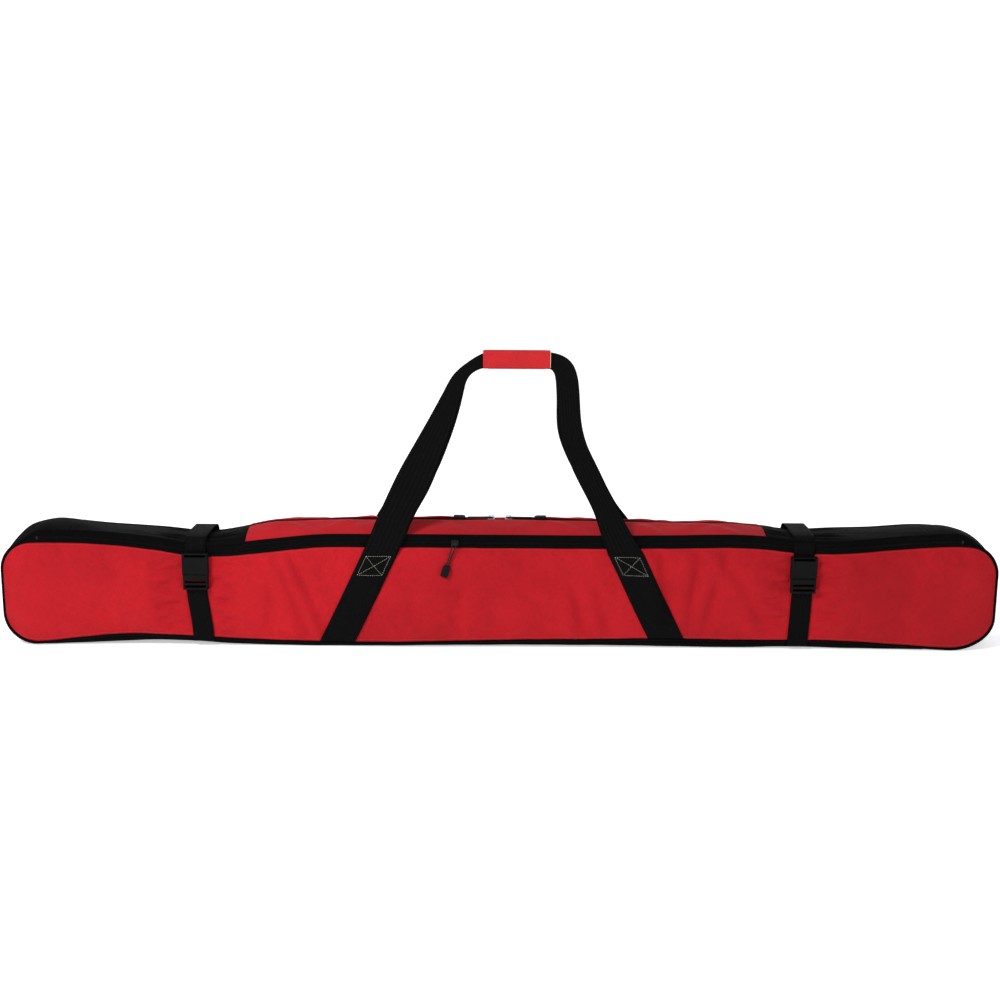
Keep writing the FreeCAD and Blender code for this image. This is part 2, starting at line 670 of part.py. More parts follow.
# The loops seen from the front: each bend is how far sideways it is, in mm, and its share of the rise.
# The left leg's are inwards from its foot or outwards from the wrap, and so are the right leg's.
LEFT_KNEE, LEFT_SHOULDER, LEFT_NECK = (83, 0.477), (106, 0.616), (52, 0.861)
RIGHT_KNEE, RIGHT_WAIST, RIGHT_NECK = (64, 0.343), (46, 0.58), (33, 0.875)
LEFT_ELBOW, RIGHT_ELBOW = (46, 18), (36, 15)  # outwards from the wrap, and down from the fold's head
GRIP_RUN_IN, INNER_RUN_IN = 10, 5
SLANTED_HALF = 0.5526  # half of the webbing, measured level across a leaning leg
FOLDED_HALF = 0.6  # half of the folded webbing, measured level
WAIST_SPREAD = 1.3


def make_handles():
    """The two free loops. Each leaves its stitching upwards, then leans inwards to the grip."""
    left = "left_leg_place"
    right = "right_leg_place"
    rise = "(grip_middle - stitch_top)"
    half = f"(webbing_width * {SLANTED_HALF})"
    narrow = f"(fold_height * {FOLDED_HALF})"

    def at(share):
        return f"stitch_top + {rise} * {share}"

    def leg_pair(middle, reach, share):
        """A leg's left and right edge at one height."""
        return (f"{middle} - {reach}", at(share)), (f"{middle} + {reach}", at(share))

    left_foot = leg_pair(left, half, 0)
    left_knee = leg_pair(f"{left} + {LEFT_KNEE[0]}", half, LEFT_KNEE[1])
    left_shoulder = leg_pair(f"{left} + {LEFT_SHOULDER[0]}", half, LEFT_SHOULDER[1])
    left_neck = leg_pair(f"{GRIP_LEFT} - {LEFT_NECK[0]}", narrow, LEFT_NECK[1])
    right_neck = leg_pair(f"{GRIP_RIGHT} + {RIGHT_NECK[0]}", narrow, RIGHT_NECK[1])
    right_waist = leg_pair(f"{GRIP_RIGHT} + {RIGHT_WAIST[0]}", f"{narrow} * {WAIST_SPREAD}", RIGHT_WAIST[1])
    right_knee = leg_pair(f"{right} - {RIGHT_KNEE[0]}", half, RIGHT_KNEE[1])
    right_foot = leg_pair(right, half, 0)
    legs = [left_foot, left_knee, left_shoulder, left_neck]
    other_legs = [right_neck, right_waist, right_knee, right_foot]
    front_view = [
        *(pair[0] for pair in legs),
        (f"{GRIP_LEFT} - {LEFT_ELBOW[0]}", f"{FOLD_HEAD} - {LEFT_ELBOW[1]}"),
        (f"{GRIP_LEFT} - {GRIP_RUN_IN}", FOLD_HEAD),
        (f"{GRIP_RIGHT} + {GRIP_RUN_IN}", FOLD_HEAD),
        (f"{GRIP_RIGHT} + {RIGHT_ELBOW[0]}", f"{FOLD_HEAD} - {RIGHT_ELBOW[1]}"),
        *(pair[1] for pair in other_legs),
        *(pair[0] for pair in reversed(other_legs)),
        (f"{GRIP_RIGHT} + {INNER_RUN_IN}", FOLD_FOOT),
        (f"{GRIP_LEFT} - {INNER_RUN_IN}", FOLD_FOOT),
        *(pair[1] for pair in reversed(legs)),
    ]
    shoulder = f"({TOP} + 3)"
    side_view = [
        (WEBBING_OUTER, "stitch_top"), (WEBBING_INNER, "stitch_top"), (WEBBING_INNER, shoulder),
        (f"-{FOLD_NEAR}", f"{FOLD_FOOT} - 5"), (f"-{FOLD_NEAR}", FOLD_HEAD),
        (f"-{FOLD_FAR}", FOLD_HEAD), (f"-{FOLD_FAR}", f"{FOLD_FOOT} - 7"), (WEBBING_OUTER, f"{shoulder} + 0.5"),
    ]
    handle = plate("front_handle", "YZ_Plane", [side_view], f"{left} - 2 * {half}", f"{right} - {left} + 4 * {half}")
    around = rectangle(f"{left} - 3 * {half}", "stitch_top - 10", f"{right} + 3 * {half}", f"{FOLD_HEAD} + 10")
    cut(handle, "XZ_Plane", [around, front_view], f"{WEBBING_OUTER} - 5", f"-{WEBBING_OUTER} + 10")
    mirrored("rear_handle", handle)


def make_wrap():
    """The padded wrap round both handles: a channel sewn to the front one, and its closing flap."""
    near = f"({FOLD_FAR} + seat_gap)"
    far = f"({near} + wrap_wall)"
    lip = f"({near} - lip_setback)"
    channel = [
        (f"-{far}", WRAP_FOOT), (lip, WRAP_FOOT), (lip, f"{WRAP_FOOT} + wrap_wall"),
        (f"-{near}", f"{WRAP_FOOT} + wrap_wall"), (f"-{near}", f"{WRAP_HEAD} - wrap_wall"),
        (lip, f"{WRAP_HEAD} - wrap_wall"), (lip, WRAP_HEAD), (f"-{far}", WRAP_HEAD),
    ]
    wrap = plate("grip_wrap", "YZ_Plane", [channel], GRIP_LEFT, "wrap_length")
    face = number(f"-{far}")
    round_edges(wrap, "wrap_wall * 0.7", lambda edge: on_long_front_edge(edge, face))
    flap = rectangle(near, WRAP_FOOT, far, WRAP_HEAD)
    plate("wrap_flap", "YZ_Plane", [flap], GRIP_LEFT, "wrap_length")


def on_long_front_edge(edge, face):
    """True for the two long edges on the front of the wrap."""
    box = edge.BoundBox
    return box.XLength > 10 and abs(box.YMax - face) < 0.01


def make_end_handles():
    """A webbing grab handle bowed from front to rear across each end."""
    seat = f"({HALF} - gusset_inset + seat_gap)"
    span = "(grab_span / 2)"
    inner = f"({seat} + grab_gap)"
    half_flat = f"({span} - grab_tab - 2 * grab_gap)"
    for label, sign in (("left_end_handle", "-1"), ("right_end_handle", "1")):
        outside = [
            (f"{sign} * ({seat} + webbing_thick)", f"-{span}"),
            (f"{sign} * ({seat} + webbing_thick)", f"-({span} - grab_tab)"),
            (f"{sign} * ({inner} + webbing_thick)", f"-({half_flat} - 1)"),
            (f"{sign} * ({inner} + webbing_thick)", f"{half_flat} - 1"),
            (f"{sign} * ({seat} + webbing_thick)", f"{span} - grab_tab"),
            (f"{sign} * ({seat} + webbing_thick)", span),
        ]
        inside = [
            (f"{sign} * {seat}", span),
            (f"{sign} * {seat}", f"{span} - grab_tab + 1"),
            (f"{sign} * {inner}", half_flat),
            (f"{sign} * {inner}", f"-{half_flat}"),
            (f"{sign} * {seat}", f"-({span} - grab_tab + 1)"),
            (f"{sign} * {seat}", f"-{span}"),
        ]
        plate(label, "XY_Plane", [outside + inside], "grab_middle - grab_width / 2", "grab_width")


def make_base_tab():
    """A short cross piece of webbing under the right end."""
    half = "(base_tab_width / 2)"
    outline = rectangle(f"({HALF} - base_tab_inset) - {half}", "-base_tab_span / 2",
                        f"({HALF} - base_tab_inset) + {half}", "base_tab_span / 2")
    height = f"({GUSSET_BASE} - seat_gap - strap_thick)"
    plate("base_tab", "XY_Plane", [outline], height, "strap_thick")


make_faces()
make_gussets()
make_divider()
make_front_zip()
make_top_zip()
make_sliders()
make_strap("left", "-1")
make_strap("right", "1")
make_webbing_base("left", "left_leg_place", "left_foot_place")
make_webbing_base("right", "right_leg_place", "right_foot_place")
make_handles()
make_wrap()
make_end_handles()
make_base_tab()
document.recompute()

for thing in document.Objects:
    if "Invalid" in thing.State or "Error" in thing.State:
        raise ValueError(f"{thing.Label}: {thing.State}")
for part in subparts:
    if part.Shape.isNull() or not part.Shape.isValid() or part.Shape.Volume <= 0:
        raise ValueError(f"{part.Label}: its shape is not sound")

os.makedirs("parts", exist_ok=True)
for part in subparts:
    part.Shape.exportStep(os.path.join("parts", f"{part.Label}.step"))
print(len(subparts), "sub-parts written")
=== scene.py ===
import math

import bpy
import numpy as np
from mathutils import Matrix, Vector


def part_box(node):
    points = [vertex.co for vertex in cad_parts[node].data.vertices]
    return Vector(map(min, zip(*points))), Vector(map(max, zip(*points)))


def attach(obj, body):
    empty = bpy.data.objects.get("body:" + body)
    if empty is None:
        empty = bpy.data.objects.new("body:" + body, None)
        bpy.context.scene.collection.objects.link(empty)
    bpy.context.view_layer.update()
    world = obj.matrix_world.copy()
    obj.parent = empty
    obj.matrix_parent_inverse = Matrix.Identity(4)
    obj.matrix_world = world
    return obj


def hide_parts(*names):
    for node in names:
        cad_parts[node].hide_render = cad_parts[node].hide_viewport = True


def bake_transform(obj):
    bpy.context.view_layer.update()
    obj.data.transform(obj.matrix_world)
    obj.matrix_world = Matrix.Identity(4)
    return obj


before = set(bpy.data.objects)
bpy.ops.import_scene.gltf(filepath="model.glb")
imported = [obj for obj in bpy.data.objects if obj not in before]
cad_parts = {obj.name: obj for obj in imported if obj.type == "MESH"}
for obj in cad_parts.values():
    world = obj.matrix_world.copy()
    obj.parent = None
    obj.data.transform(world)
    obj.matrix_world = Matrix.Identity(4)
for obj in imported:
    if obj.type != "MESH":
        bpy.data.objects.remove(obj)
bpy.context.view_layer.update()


# ---------------------------------------------------------------- numbers, all in metres

piping_low, piping_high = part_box("front_piping")
tape_low, tape_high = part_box("top_zip_front_tape")
STRAPS = (-0.557, 0.557)  # the two compression straps' middles
SEAM = -(piping_low.y + piping_high.y) / 2  # how far the two seams are from the middle
SEAM_GAP = 0.0005  # between the red panel's lower edge and the binding
REAR_RISE = 0.0015  # how far the rear seam is above the rear panel's top edge
PANEL_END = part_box("front_panel")[1].x
SHELL_END = piping_high.x - 0.0025
END_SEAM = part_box("right_end_gusset")[0].x
RED_LEFT, RED_RIGHT = tape_low.x, tape_high.x
STITCH_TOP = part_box("front_handle")[0].z + 0.0005
BAND = 0.0225  # from the red panel's top edge to the middle of the binding above the zip
BAND_END = 0.840  # where that band starts to narrow
BAND_TIP = 0.0035  # what is left of it at the bag's ends
COIL_UP = 0.0098  # from the red panel's top edge to the coil
BINDING = 0.0026
CLOTH = 0.0011
WEB = 0.0018
FRONT_SKIN, REAR_SKIN = 0.0012, 0.0008  # from a seam's middle to the outside of the cloth beside it


def curve_through(points):
    """A smooth function through given (place, value) points."""
    places, values = np.array(points, float).T
    slopes = np.gradient(values, places)

    def at(x):
        x = np.clip(np.asarray(x, float), places[0], places[-1])
        i = np.clip(np.searchsorted(places, x) - 1, 0, len(places) - 2)
        h = places[i + 1] - places[i]
        t = (x - places[i]) / h
        return (
            (2 * t**3 - 3 * t**2 + 1) * values[i]
            + (t**3 - 2 * t**2 + t) * h * slopes[i]
            + (3 * t**2 - 2 * t**3) * values[i + 1]
            + (t**3 - t**2) * h * slopes[i + 1]
        )

    return at


# heights along the bag: both edges of the red panel, the rear panel's top edge, the ridge and the underside
red_top = curve_through(
    [(-0.93, 0.192), (-0.85, 0.1965), (-0.74, 0.1950), (-0.63, 0.184), (-0.557, 0.1725), (-0.50, 0.1735),
     (-0.42, 0.1820), (-0.33, 0.191), (-0.24, 0.192), (0.0, 0.192), (0.20, 0.192), (0.30, 0.193),
     (0.48, 0.193), (0.557, 0.185), (0.63, 0.185), (0.74, 0.1945), (0.84, 0.1995), (0.93, 0.193)]
)
red_bottom = curve_through(
    [(-0.93, 0.006), (-0.85, 0.008), (-0.77, 0.017), (-0.69, 0.024), (-0.60, 0.022), (-0.48, 0.016),
     (-0.32, 0.0115), (-0.19, 0.011), (0.0, 0.016), (0.19, 0.019), (0.33, 0.021), (0.45, 0.019),
     (0.60, 0.0195), (0.74, 0.012), (0.84, 0.006), (0.93, 0.006)]
)
rear_top = curve_through(
    [(-0.93, 0.190), (-0.83, 0.201), (-0.74, 0.1945), (-0.64, 0.188), (-0.557, 0.181), (-0.49, 0.187),
     (-0.40, 0.196), (-0.20, 0.204), (0.0, 0.206), (0.20, 0.203), (0.42, 0.198), (0.50, 0.196),
     (0.557, 0.191), (0.63, 0.194), (0.70, 0.196), (0.80, 0.202), (0.93, 0.188)]
)
crest = curve_through(
    [(-0.93, 0.200), (-0.895, 0.2140), (-0.86, 0.2225), (-0.82, 0.2240), (-0.78, 0.2195), (-0.73, 0.2105),
     (-0.66, 0.2045), (-0.60, 0.1990), (-0.557, 0.1965), (-0.51, 0.2015), (-0.465, 0.2130),
     (-0.43, 0.2205), (-0.38, 0.2235), (-0.30, 0.2260), (-0.22, 0.2266), (0.10, 0.2266), (0.22, 0.2255), (0.35, 0.2235), (0.45, 0.2215),
     (0.49, 0.2170), (0.52, 0.2115), (0.557, 0.2080), (0.62, 0.2085), (0.69, 0.2110), (0.74, 0.2150),
     (0.80, 0.2200), (0.84, 0.2200), (0.88, 0.2130), (0.93, 0.196)]
)
underside = curve_through(
    [(-0.93, 0.002), (-0.83, 0.0005), (-0.73, 0.0045), (-0.65, 0.0085), (-0.57, 0.0075), (-0.49, 0.0025),
     (-0.40, 0.0003), (-0.24, 0.0003), (-0.07, 0.0025), (0.10, 0.0035), (0.25, 0.003), (0.42, 0.001),
     (0.55, 0.003), (0.67, 0.0005), (0.83, 0.0003), (0.93, 0.0008)]
)


def soft_step(t):
    t = np.clip(t, 0, 1)
    return t * t * (3 - 2 * t)


def corner(x, half, across):
    """0 where the edge is straight, rising to 1 at the very end of a rounded corner."""
    return np.clip((np.abs(x) - (half - across)) / across, 0, 1)


def rounded(x, half, across, drop):
    """How far a rounded corner has left the straight edge."""
    return drop * (1 - np.sqrt(np.clip(1 - corner(x, half, across) ** 2, 0, 1)))


def across_bottom(x):
    """The bottom corners: the right one is wider."""
    return np.where(np.asarray(x) > 0, 0.080, 0.060)


def panel_top(x):
    return red_top(x) - rounded(x, PANEL_END, 0.050, 0.050)


def panel_bottom(x):
    return red_bottom(x) + rounded(x, PANEL_END, across_bottom(x), 0.058)


def band(x):
    """From the red panel's top edge to the binding: the zip's band, which narrows before the corners."""
    return BAND - (BAND - BAND_TIP) * soft_step((np.abs(x) - BAND_END) / 0.045)


def seam_top(x):
    return red_top(x) + band(x) - rounded(x, SHELL_END, 0.052, 0.052)


def seam_bottom(x):
    return red_bottom(x) - BINDING - SEAM_GAP + rounded(x, SHELL_END, across_bottom(x), 0.060)


def rear_seam_top(x):
    return rear_top(x) + REAR_RISE - rounded(x, SHELL_END, 0.090, 0.100)


def rear_low(x):
    return seam_bottom(x) + BINDING


def rear_high(x):
    return rear_seam_top(x) - BINDING


def columns(half, step, left=None, right=None):
    """Places along the bag, closer together round the corners."""
    turn = 0.082
    straight = half - turn
    quarter = np.sin(np.linspace(0, math.pi / 2, 26))[1:] * turn
    middle = np.linspace(-straight, straight, int(2 * straight / step) + 1)
    x = np.concatenate([-straight - quarter[::-1], middle, straight + quarter])
    if left is not None:
        x = np.concatenate([[left], x[(x > left + step / 3) & (x < right - step / 3)], [right]])
    return x


def bell(x, middle, width):
    return np.exp(-(((x - middle) / width) ** 2))


def left_lean(z):
    """The left strap's foot is nearer to the middle than its buckle."""
    return 0.010 * soft_step((0.125 - z) / 0.115)


def right_lean(z):
    return -0.004 * soft_step((0.125 - z) / 0.115)


# place, lean, width and height of the soft upright folds, and where the waves over each face start
FRONT_PHASE, REAR_PHASE = 0.4, 2.1
FRONT_FOLDS = [
    (-0.800, 0.10, 0.050, 0.0012), (-0.400, -0.30, 0.012, 0.0022), (-0.368, -0.42, 0.010, 0.0026),
    (-0.455, 0.15, 0.020, 0.0016), (0.115, -0.25, 0.014, 0.0020), (0.160, -0.35, 0.012, 0.0018),
    (0.285, -0.15, 0.013, 0.0024), (0.335, 0.10, 0.012, 0.0022), (0.372, 0.25, 0.012, 0.0018),
    (0.430, -0.55, 0.016, 0.0020), (0.700, 0.12, 0.030, 0.0014), (-0.665, -0.20, 0.028, 0.0014),
    (-0.110, 0.22, 0.022, 0.0010), (0.020, -0.30, 0.024, 0.0012),
]
REAR_FOLDS = [
    (-0.76, 0.15, 0.030, 0.0016), (-0.43, -0.2, 0.014, 0.0022), (-0.15, 0.3, 0.020, 0.0018),
    (-0.02, -0.2, 0.016, 0.0016), (0.11, 0.1, 0.018, 0.0020), (0.40, -0.3, 0.014, 0.0024),
    (0.45, 0.2, 0.016, 0.0016), (0.78, -0.1, 0.032, 0.0018),
]


def up_the_face(x, z, low, high):
    """0 at a face's lower and upper edge, 1 over most of its height."""
    v = np.clip((z - low) / np.maximum(high - low, 1e-4), 0, 1)
    return 1 - np.abs(2 * v - 1) ** 3


def strap_places(z):
    return STRAPS[0] + left_lean(z), STRAPS[1] + right_lean(z)


def creases(x, z, rows, folds, phase):
    """Upright folds, and puckers beside the straps."""
    out = np.zeros_like(x)
    for place, lean, width, height in folds:
        line = place + lean * (z - 0.10)
        uneven = 0.6 + 0.4 * np.sin(31 * z + 9 * place)
        out = out + 3.4 * height * rows * bell(x, line, width) * uneven
        out = out - 1.9 * height * rows * bell(x, line + 1.9 * width, width)
    for s in strap_places(z):
        away = np.abs(x - s)
        near = bell(away, 0.048, 0.030) * soft_step((away - 0.020) / 0.012)
        ripple = np.sin(2 * math.pi * (z + 0.25 * (x - s)) / 0.034 + phase + 3 * s)
        ripple = ripple + 0.5 * np.sin(2 * math.pi * (z - 0.3 * (x - s)) / 0.021 + 2 * phase)
        out = out + 0.0030 * near * rows * ripple
    return out


def swell(x, z, low, high, folds, phase):
    """How far a face stands out beyond its seams."""
    rows = up_the_face(x, z, low, high)
    ends = 1 - (1 - np.clip((PANEL_END - np.abs(x)) / 0.10, 0, 1)) ** 3
    held = np.ones_like(x)
    for s in strap_places(z):
        held = held * (1 - np.clip(1.15 * bell(x, s, 0.048), 0, 0.93))
    amount = 0.0090 + 0.0025 * bell(np.abs(x), 0.77, 0.12)
    drift = np.sin(23 * x + 17 * z + phase) * np.sin(41 * z - 11 * x + 2 * phase)
    return (amount + 0.0009 * drift) * rows * ends * held + creases(x, z, rows, folds, phase)


def front_depth(x, z):
    """How far the front cloth's outside is in front of the bag's middle."""
    out = swell(x, z, panel_bottom(x), panel_top(x), FRONT_FOLDS, FRONT_PHASE)
    return SEAM + FRONT_SKIN + np.maximum(out, -0.0004)


def rear_depth(x, z):
    out = swell(x, z, rear_low(x), rear_high(x), REAR_FOLDS, REAR_PHASE)
    return SEAM + REAR_SKIN + np.maximum(out, -0.0004)


def top_height(x, w):
    """The top's height, w from 0 at the front seam to 1 at the rear seam."""
    low = red_top(x) + band(x)
    high = rear_top(x) + REAR_RISE
    rise = crest(x) - (low + high) / 2
    dome = 1 - np.abs(2 * w - 1) ** 2.2
    wrinkle = 0.0
    for s in STRAPS:
        away = np.abs(x - s)
        wrinkle = wrinkle + 0.0016 * bell(away, 0.045, 0.025) * np.sin(46 * w + 30 * (x - s))
    wrinkle = wrinkle + 0.0007 * np.sin(37 * x + 5 * w) * np.sin(9 * w + 13 * x)
    quiet = soft_step((np.abs(2 * w - 1) - 0.12) / 0.3)
    return low * (1 - w) + high * w + rise * dome + wrinkle * dome * quiet * 1.5


# ---------------------------------------------------------------- materials, all from nodes


class Nodes:
    """A small help for writing a material's nodes."""

    def __init__(self, name):
        self.material = bpy.data.materials.new(name)
        self.material.use_nodes = True
        self.tree = self.material.node_tree
        self.shader = self.tree.nodes["Principled BSDF"]

    def add(self, kind, inputs=None, **settings):
        node = self.tree.nodes.new(kind)
        for key, value in settings.items():
            setattr(node, key, value)
        for key, value in (inputs or {}).items():
            if isinstance(value, bpy.types.NodeSocket):
                self.tree.links.new(value, node.inputs[key])
            else:
                node.inputs[key].default_value = value
        return node

    def math(self, operation, a, b=0.5, clamp=False):
        return self.add("ShaderNodeMath", {0: a, 1: b}, operation=operation, use_clamp=clamp).outputs[0]

    def noise(self, place, scale, detail=3.0, rough=0.55):
        return self.add(
            "ShaderNodeTexNoise", {"Vector": place, "Scale": scale, "Detail": detail, "Roughness": rough}
        ).outputs["Fac"]

    def waves(self, place, direction, pitch, distortion=0.0):
        """Parallel ridges, pitch metres apart."""
        return self.add(
            "ShaderNodeTexWave",
            {"Vector": place, "Scale": math.pi / (10 * pitch), "Distortion": distortion, "Detail": 1.0},
            wave_type="BANDS", bands_direction=direction,
        ).outputs["Fac"]

    def between(self, share, low, high):
        return self.add("ShaderNodeMapRange", {"Value": share, "To Min": low, "To Max": high}).outputs[0]

    def blend(self, share, one, other):
        node = self.add("ShaderNodeMix", data_type="RGBA")
        for socket, value in ((node.inputs[0], share), (node.inputs[6], one), (node.inputs[7], other)):
            if isinstance(value, bpy.types.NodeSocket):
                self.tree.links.new(value, socket)
            else:
                socket.default_value = value
        return node.outputs[2]

    def both(self, one, share, other, part, clamp=False):
        """Two patterns mixed, each in its own share."""
        return self.math("ADD", self.math("MULTIPLY", one, share), self.math("MULTIPLY", other, part), clamp)

    def where(self):
        return self.add("ShaderNodeTexCoord").outputs["Object"]

    def finish(self, colour, rough, height, strength, distance, **constants):
        self.tree.links.new(colour, self.shader.inputs["Base Color"])
        self.tree.links.new(rough, self.shader.inputs["Roughness"])
        bump = self.add("ShaderNodeBump", {"Height": height, "Strength": strength, "Distance": distance})
        self.tree.links.new(bump.outputs[0], self.shader.inputs["Normal"])
        for key, value in constants.items():
            self.shader.inputs[key].default_value = value
        return self.material


def rgba(red, green, blue):
    return (red, green, blue, 1.0)


def woven(name, dark, light, pitch, rough=(0.62, 0.82), sheen=0.25, bump=0.5, specular=0.03, dusty=0.0, tint=None):
    """Plain-woven cloth: threads over and under, slow changes of colour, and a little dust."""
    n = Nodes(name)
    where = n.where()
    cloth = n.add("ShaderNodeUVMap", uv_map="cloth").outputs[0]
    warp = n.waves(cloth, "X", pitch)
    weft = n.waves(cloth, "Y", pitch)
    over = n.waves(cloth, "DIAGONAL", pitch * 2)
    threads = n.math("ADD", n.math("MULTIPLY", warp, over), n.math("MULTIPLY", weft, n.math("SUBTRACT", 1.0, over)))
    slow = n.noise(where, 5.5, 4.0)
    fine = n.noise(where, 90.0, 5.0, 0.65)
    lengthwise = n.add("ShaderNodeMapping", {"Vector": cloth, "Scale": (110.0, 900.0, 1.0)}).outputs[0]
    crosswise = n.add("ShaderNodeMapping", {"Vector": cloth, "Scale": (900.0, 110.0, 1.0)}).outputs[0]
    slubs = n.math("ADD", n.noise(lengthwise, 1.0, 2.0), n.noise(crosswise, 1.0, 2.0))
    share = n.both(slow, 0.60, fine, 0.22)
    share = n.math("ADD", share, n.math("MULTIPLY", n.math("SUBTRACT", slubs, 1.0), 0.40))
    share = n.math("ADD", share, 0.05)
    share = n.math("ADD", share, n.math("MULTIPLY", threads, 0.22), clamp=True)
    colour = n.blend(n.between(share, -0.35, 1.15), rgba(*dark), rgba(*light))
    if tint:
        patch = n.between(n.noise(where, 2.2, 2.0), -0.9, 1.4)
        colour = n.blend(n.math("MULTIPLY", patch, 0.35, clamp=True), colour, rgba(*tint))
    if dusty:
        dust = n.between(n.noise(where, 38.0, 8.0, 0.75), -1.6, 1.6)
        colour = n.blend(n.math("MULTIPLY", dust, dusty, clamp=True), colour, rgba(0.30, 0.28, 0.26))
    height = n.both(threads, 0.75, fine, 0.35)
    return n.finish(
        colour, n.between(fine, *rough), height, bump, pitch * 0.35,
        **{"Sheen Weight": sheen, "Sheen Roughness": 0.5, "Specular IOR Level": specular},
    )


def ribbed(name, dark, light, pitch, rough=(0.5, 0.75)):
    """Webbing: rows of herringbone ribs that run along it."""
    n = Nodes(name)
    where = n.where()
    cloth = n.add("ShaderNodeUVMap", uv_map="cloth").outputs[0]
    ribs = n.waves(cloth, "Y", pitch * 2.4)
    picks = n.waves(cloth, "X", pitch)
    slant = n.waves(cloth, "DIAGONAL", pitch * 1.3)
    weave = n.both(ribs, 0.55, n.math("MULTIPLY", picks, slant), 0.6)
    fine = n.noise(where, 130.0, 4.0, 0.7)
    share = n.both(weave, 0.55, fine, 0.4, clamp=True)
    colour = n.blend(share, rgba(*dark), rgba(*light))
    return n.finish(
        colour, n.between(fine, *rough), weave, 0.75, pitch * 0.4,
        **{"Sheen Weight": 0.003, "Sheen Roughness": 0.45, "Specular IOR Level": 0.025},
    )


def solid(name, dark, light, rough, scale, bump, metal=0.0, specular=0.5):
    """Moulded plastic or cast metal: fine grain, rubbed patches and faint scratches."""
    n = Nodes(name)
    where = n.where()
    grain = n.noise(where, scale, 3.0, 0.6)
    rubbed = n.noise(where, scale * 0.06, 4.0, 0.6)
    stretched = n.add("ShaderNodeMapping", {"Vector": where, "Scale": (1.0, 0.15, 0.35)}).outputs[0]
    scratch = n.noise(stretched, scale * 1.6, 2.0, 0.8)
    share = n.both(rubbed, 0.6, scratch, 0.4, clamp=True)
    colour = n.blend(share, rgba(*dark), rgba(*light))
    height = n.math("ADD", grain, n.math("MULTIPLY", scratch, 0.5))
    return n.finish(
        colour, n.between(share, *rough), height, bump, 0.0002, **{"Metallic": metal, "Specular IOR Level": specular}
    )


def braided(name, dark, light, pitch):
    """Round braided cord: two sets of slanted strands."""
    n = Nodes(name)
    where = n.where()
    turned = n.add("ShaderNodeMapping", {"Vector": where, "Rotation": (0.0, 0.6, 0.9)}).outputs[0]
    other = n.add("ShaderNodeMapping", {"Vector": where, "Rotation": (0.0, -0.6, -0.9)}).outputs[0]
    strands = n.math("MULTIPLY", n.waves(turned, "DIAGONAL", pitch), n.waves(other, "DIAGONAL", pitch))
    fleck = n.noise(where, 420.0, 2.0)
    share = n.both(strands, 0.7, fleck, 0.3, clamp=True)
    return n.finish(
        n.blend(share, rgba(*dark), rgba(*light)), n.between(fleck, 0.5, 0.8), strands, 0.8, 0.0004,
        **{"Sheen Weight": 0.03, "Specular IOR Level": 0.10},
    )


def spongy(name, dark, light):
    """Open-cell foam."""
    n = Nodes(name)
    where = n.where()
    cells = n.add("ShaderNodeTexVoronoi", {"Vector": where, "Scale": 620.0}).outputs["Distance"]
    slow = n.noise(where, 12.0, 3.0)
    share = n.both(cells, 0.7, slow, 0.4, clamp=True)
    colour = n.blend(share, rgba(*dark), rgba(*light))
    return n.finish(colour, n.between(cells, 0.95, 0.8), cells, 0.6, 0.0004)


DEEP = (0.0006, 0.0006, 0.0007)  # the blacks' darker side
RED = woven(
    "red_pack_cloth", (0.20, 0.003, 0.006), (0.49, 0.009, 0.016), 0.0011,
    sheen=0.02, bump=0.8, specular=0.08, tint=(0.14, 0.002, 0.004),
)
RED_WRAP = woven(
    "red_wrap_cloth", (0.24, 0.006, 0.009), (0.56, 0.022, 0.026), 0.0009, sheen=0.05, bump=0.9, specular=0.08
)
BLACK = woven(
    "black_pack_cloth", DEEP, (0.0030, 0.0030, 0.0034), 0.0011, sheen=0.003, bump=0.6, specular=0.02, dusty=0.002
)
BIND = woven("binding_tape", DEEP, (0.0030, 0.0030, 0.0033), 0.0008, (0.55, 0.75), 0.003, 0.6, 0.02)
TAPE = woven("zip_tape_cloth", DEEP, (0.0035, 0.0035, 0.0039), 0.0006, (0.6, 0.8), 0.003, 0.6, 0.02)
LINING = woven("divider_cloth", (0.05, 0.05, 0.055), (0.12, 0.12, 0.13), 0.0009, sheen=0.1)
WEBBING = ribbed("black_webbing", DEEP, (0.0045, 0.0045, 0.0050), 0.0016)
CORD = braided("pull_cord_braid", (0.0015, 0.0015, 0.0018), (0.024, 0.024, 0.025), 0.0011)
FOAM = spongy("foam_cells", (0.16, 0.16, 0.17), (0.34, 0.34, 0.35))
FOAM_BASE = spongy("base_foam_cells", (0.05, 0.05, 0.055), (0.13, 0.13, 0.14))

STITCH_RED = solid("red_thread", (0.34, 0.008, 0.012), (0.60, 0.03, 0.035), (0.5, 0.7), 900.0, 0.3)
STITCH_PALE = solid("pale_thread", (0.46, 0.42, 0.32), (0.78, 0.74, 0.60), (0.5, 0.7), 900.0, 0.3)
STITCH_BLACK = solid(
    "black_thread", (0.002, 0.002, 0.0024), (0.008, 0.008, 0.009), (0.6, 0.8), 900.0, 0.3, specular=0.05
)
COIL = solid("coil_nylon", (0.0012, 0.0012, 0.0015), (0.0060, 0.0060, 0.0065), (0.4, 0.6), 500.0, 0.15, specular=0.05)
METAL = solid("slider_metal_finish", (0.24, 0.24, 0.25), (0.62, 0.61, 0.60), (0.22, 0.45), 420.0, 0.2, metal=1.0)
STOP = solid(
    "stop_metal_finish", (0.003, 0.003, 0.0034), (0.012, 0.012, 0.013), (0.45, 0.65), 420.0, 0.2, specular=0.15
)
DARK_METAL = solid(
    "dark_slider_finish", (0.004, 0.004, 0.0045), (0.024, 0.024, 0.025), (0.3, 0.5), 420.0, 0.2,
    metal=0.5, specular=0.2,
)
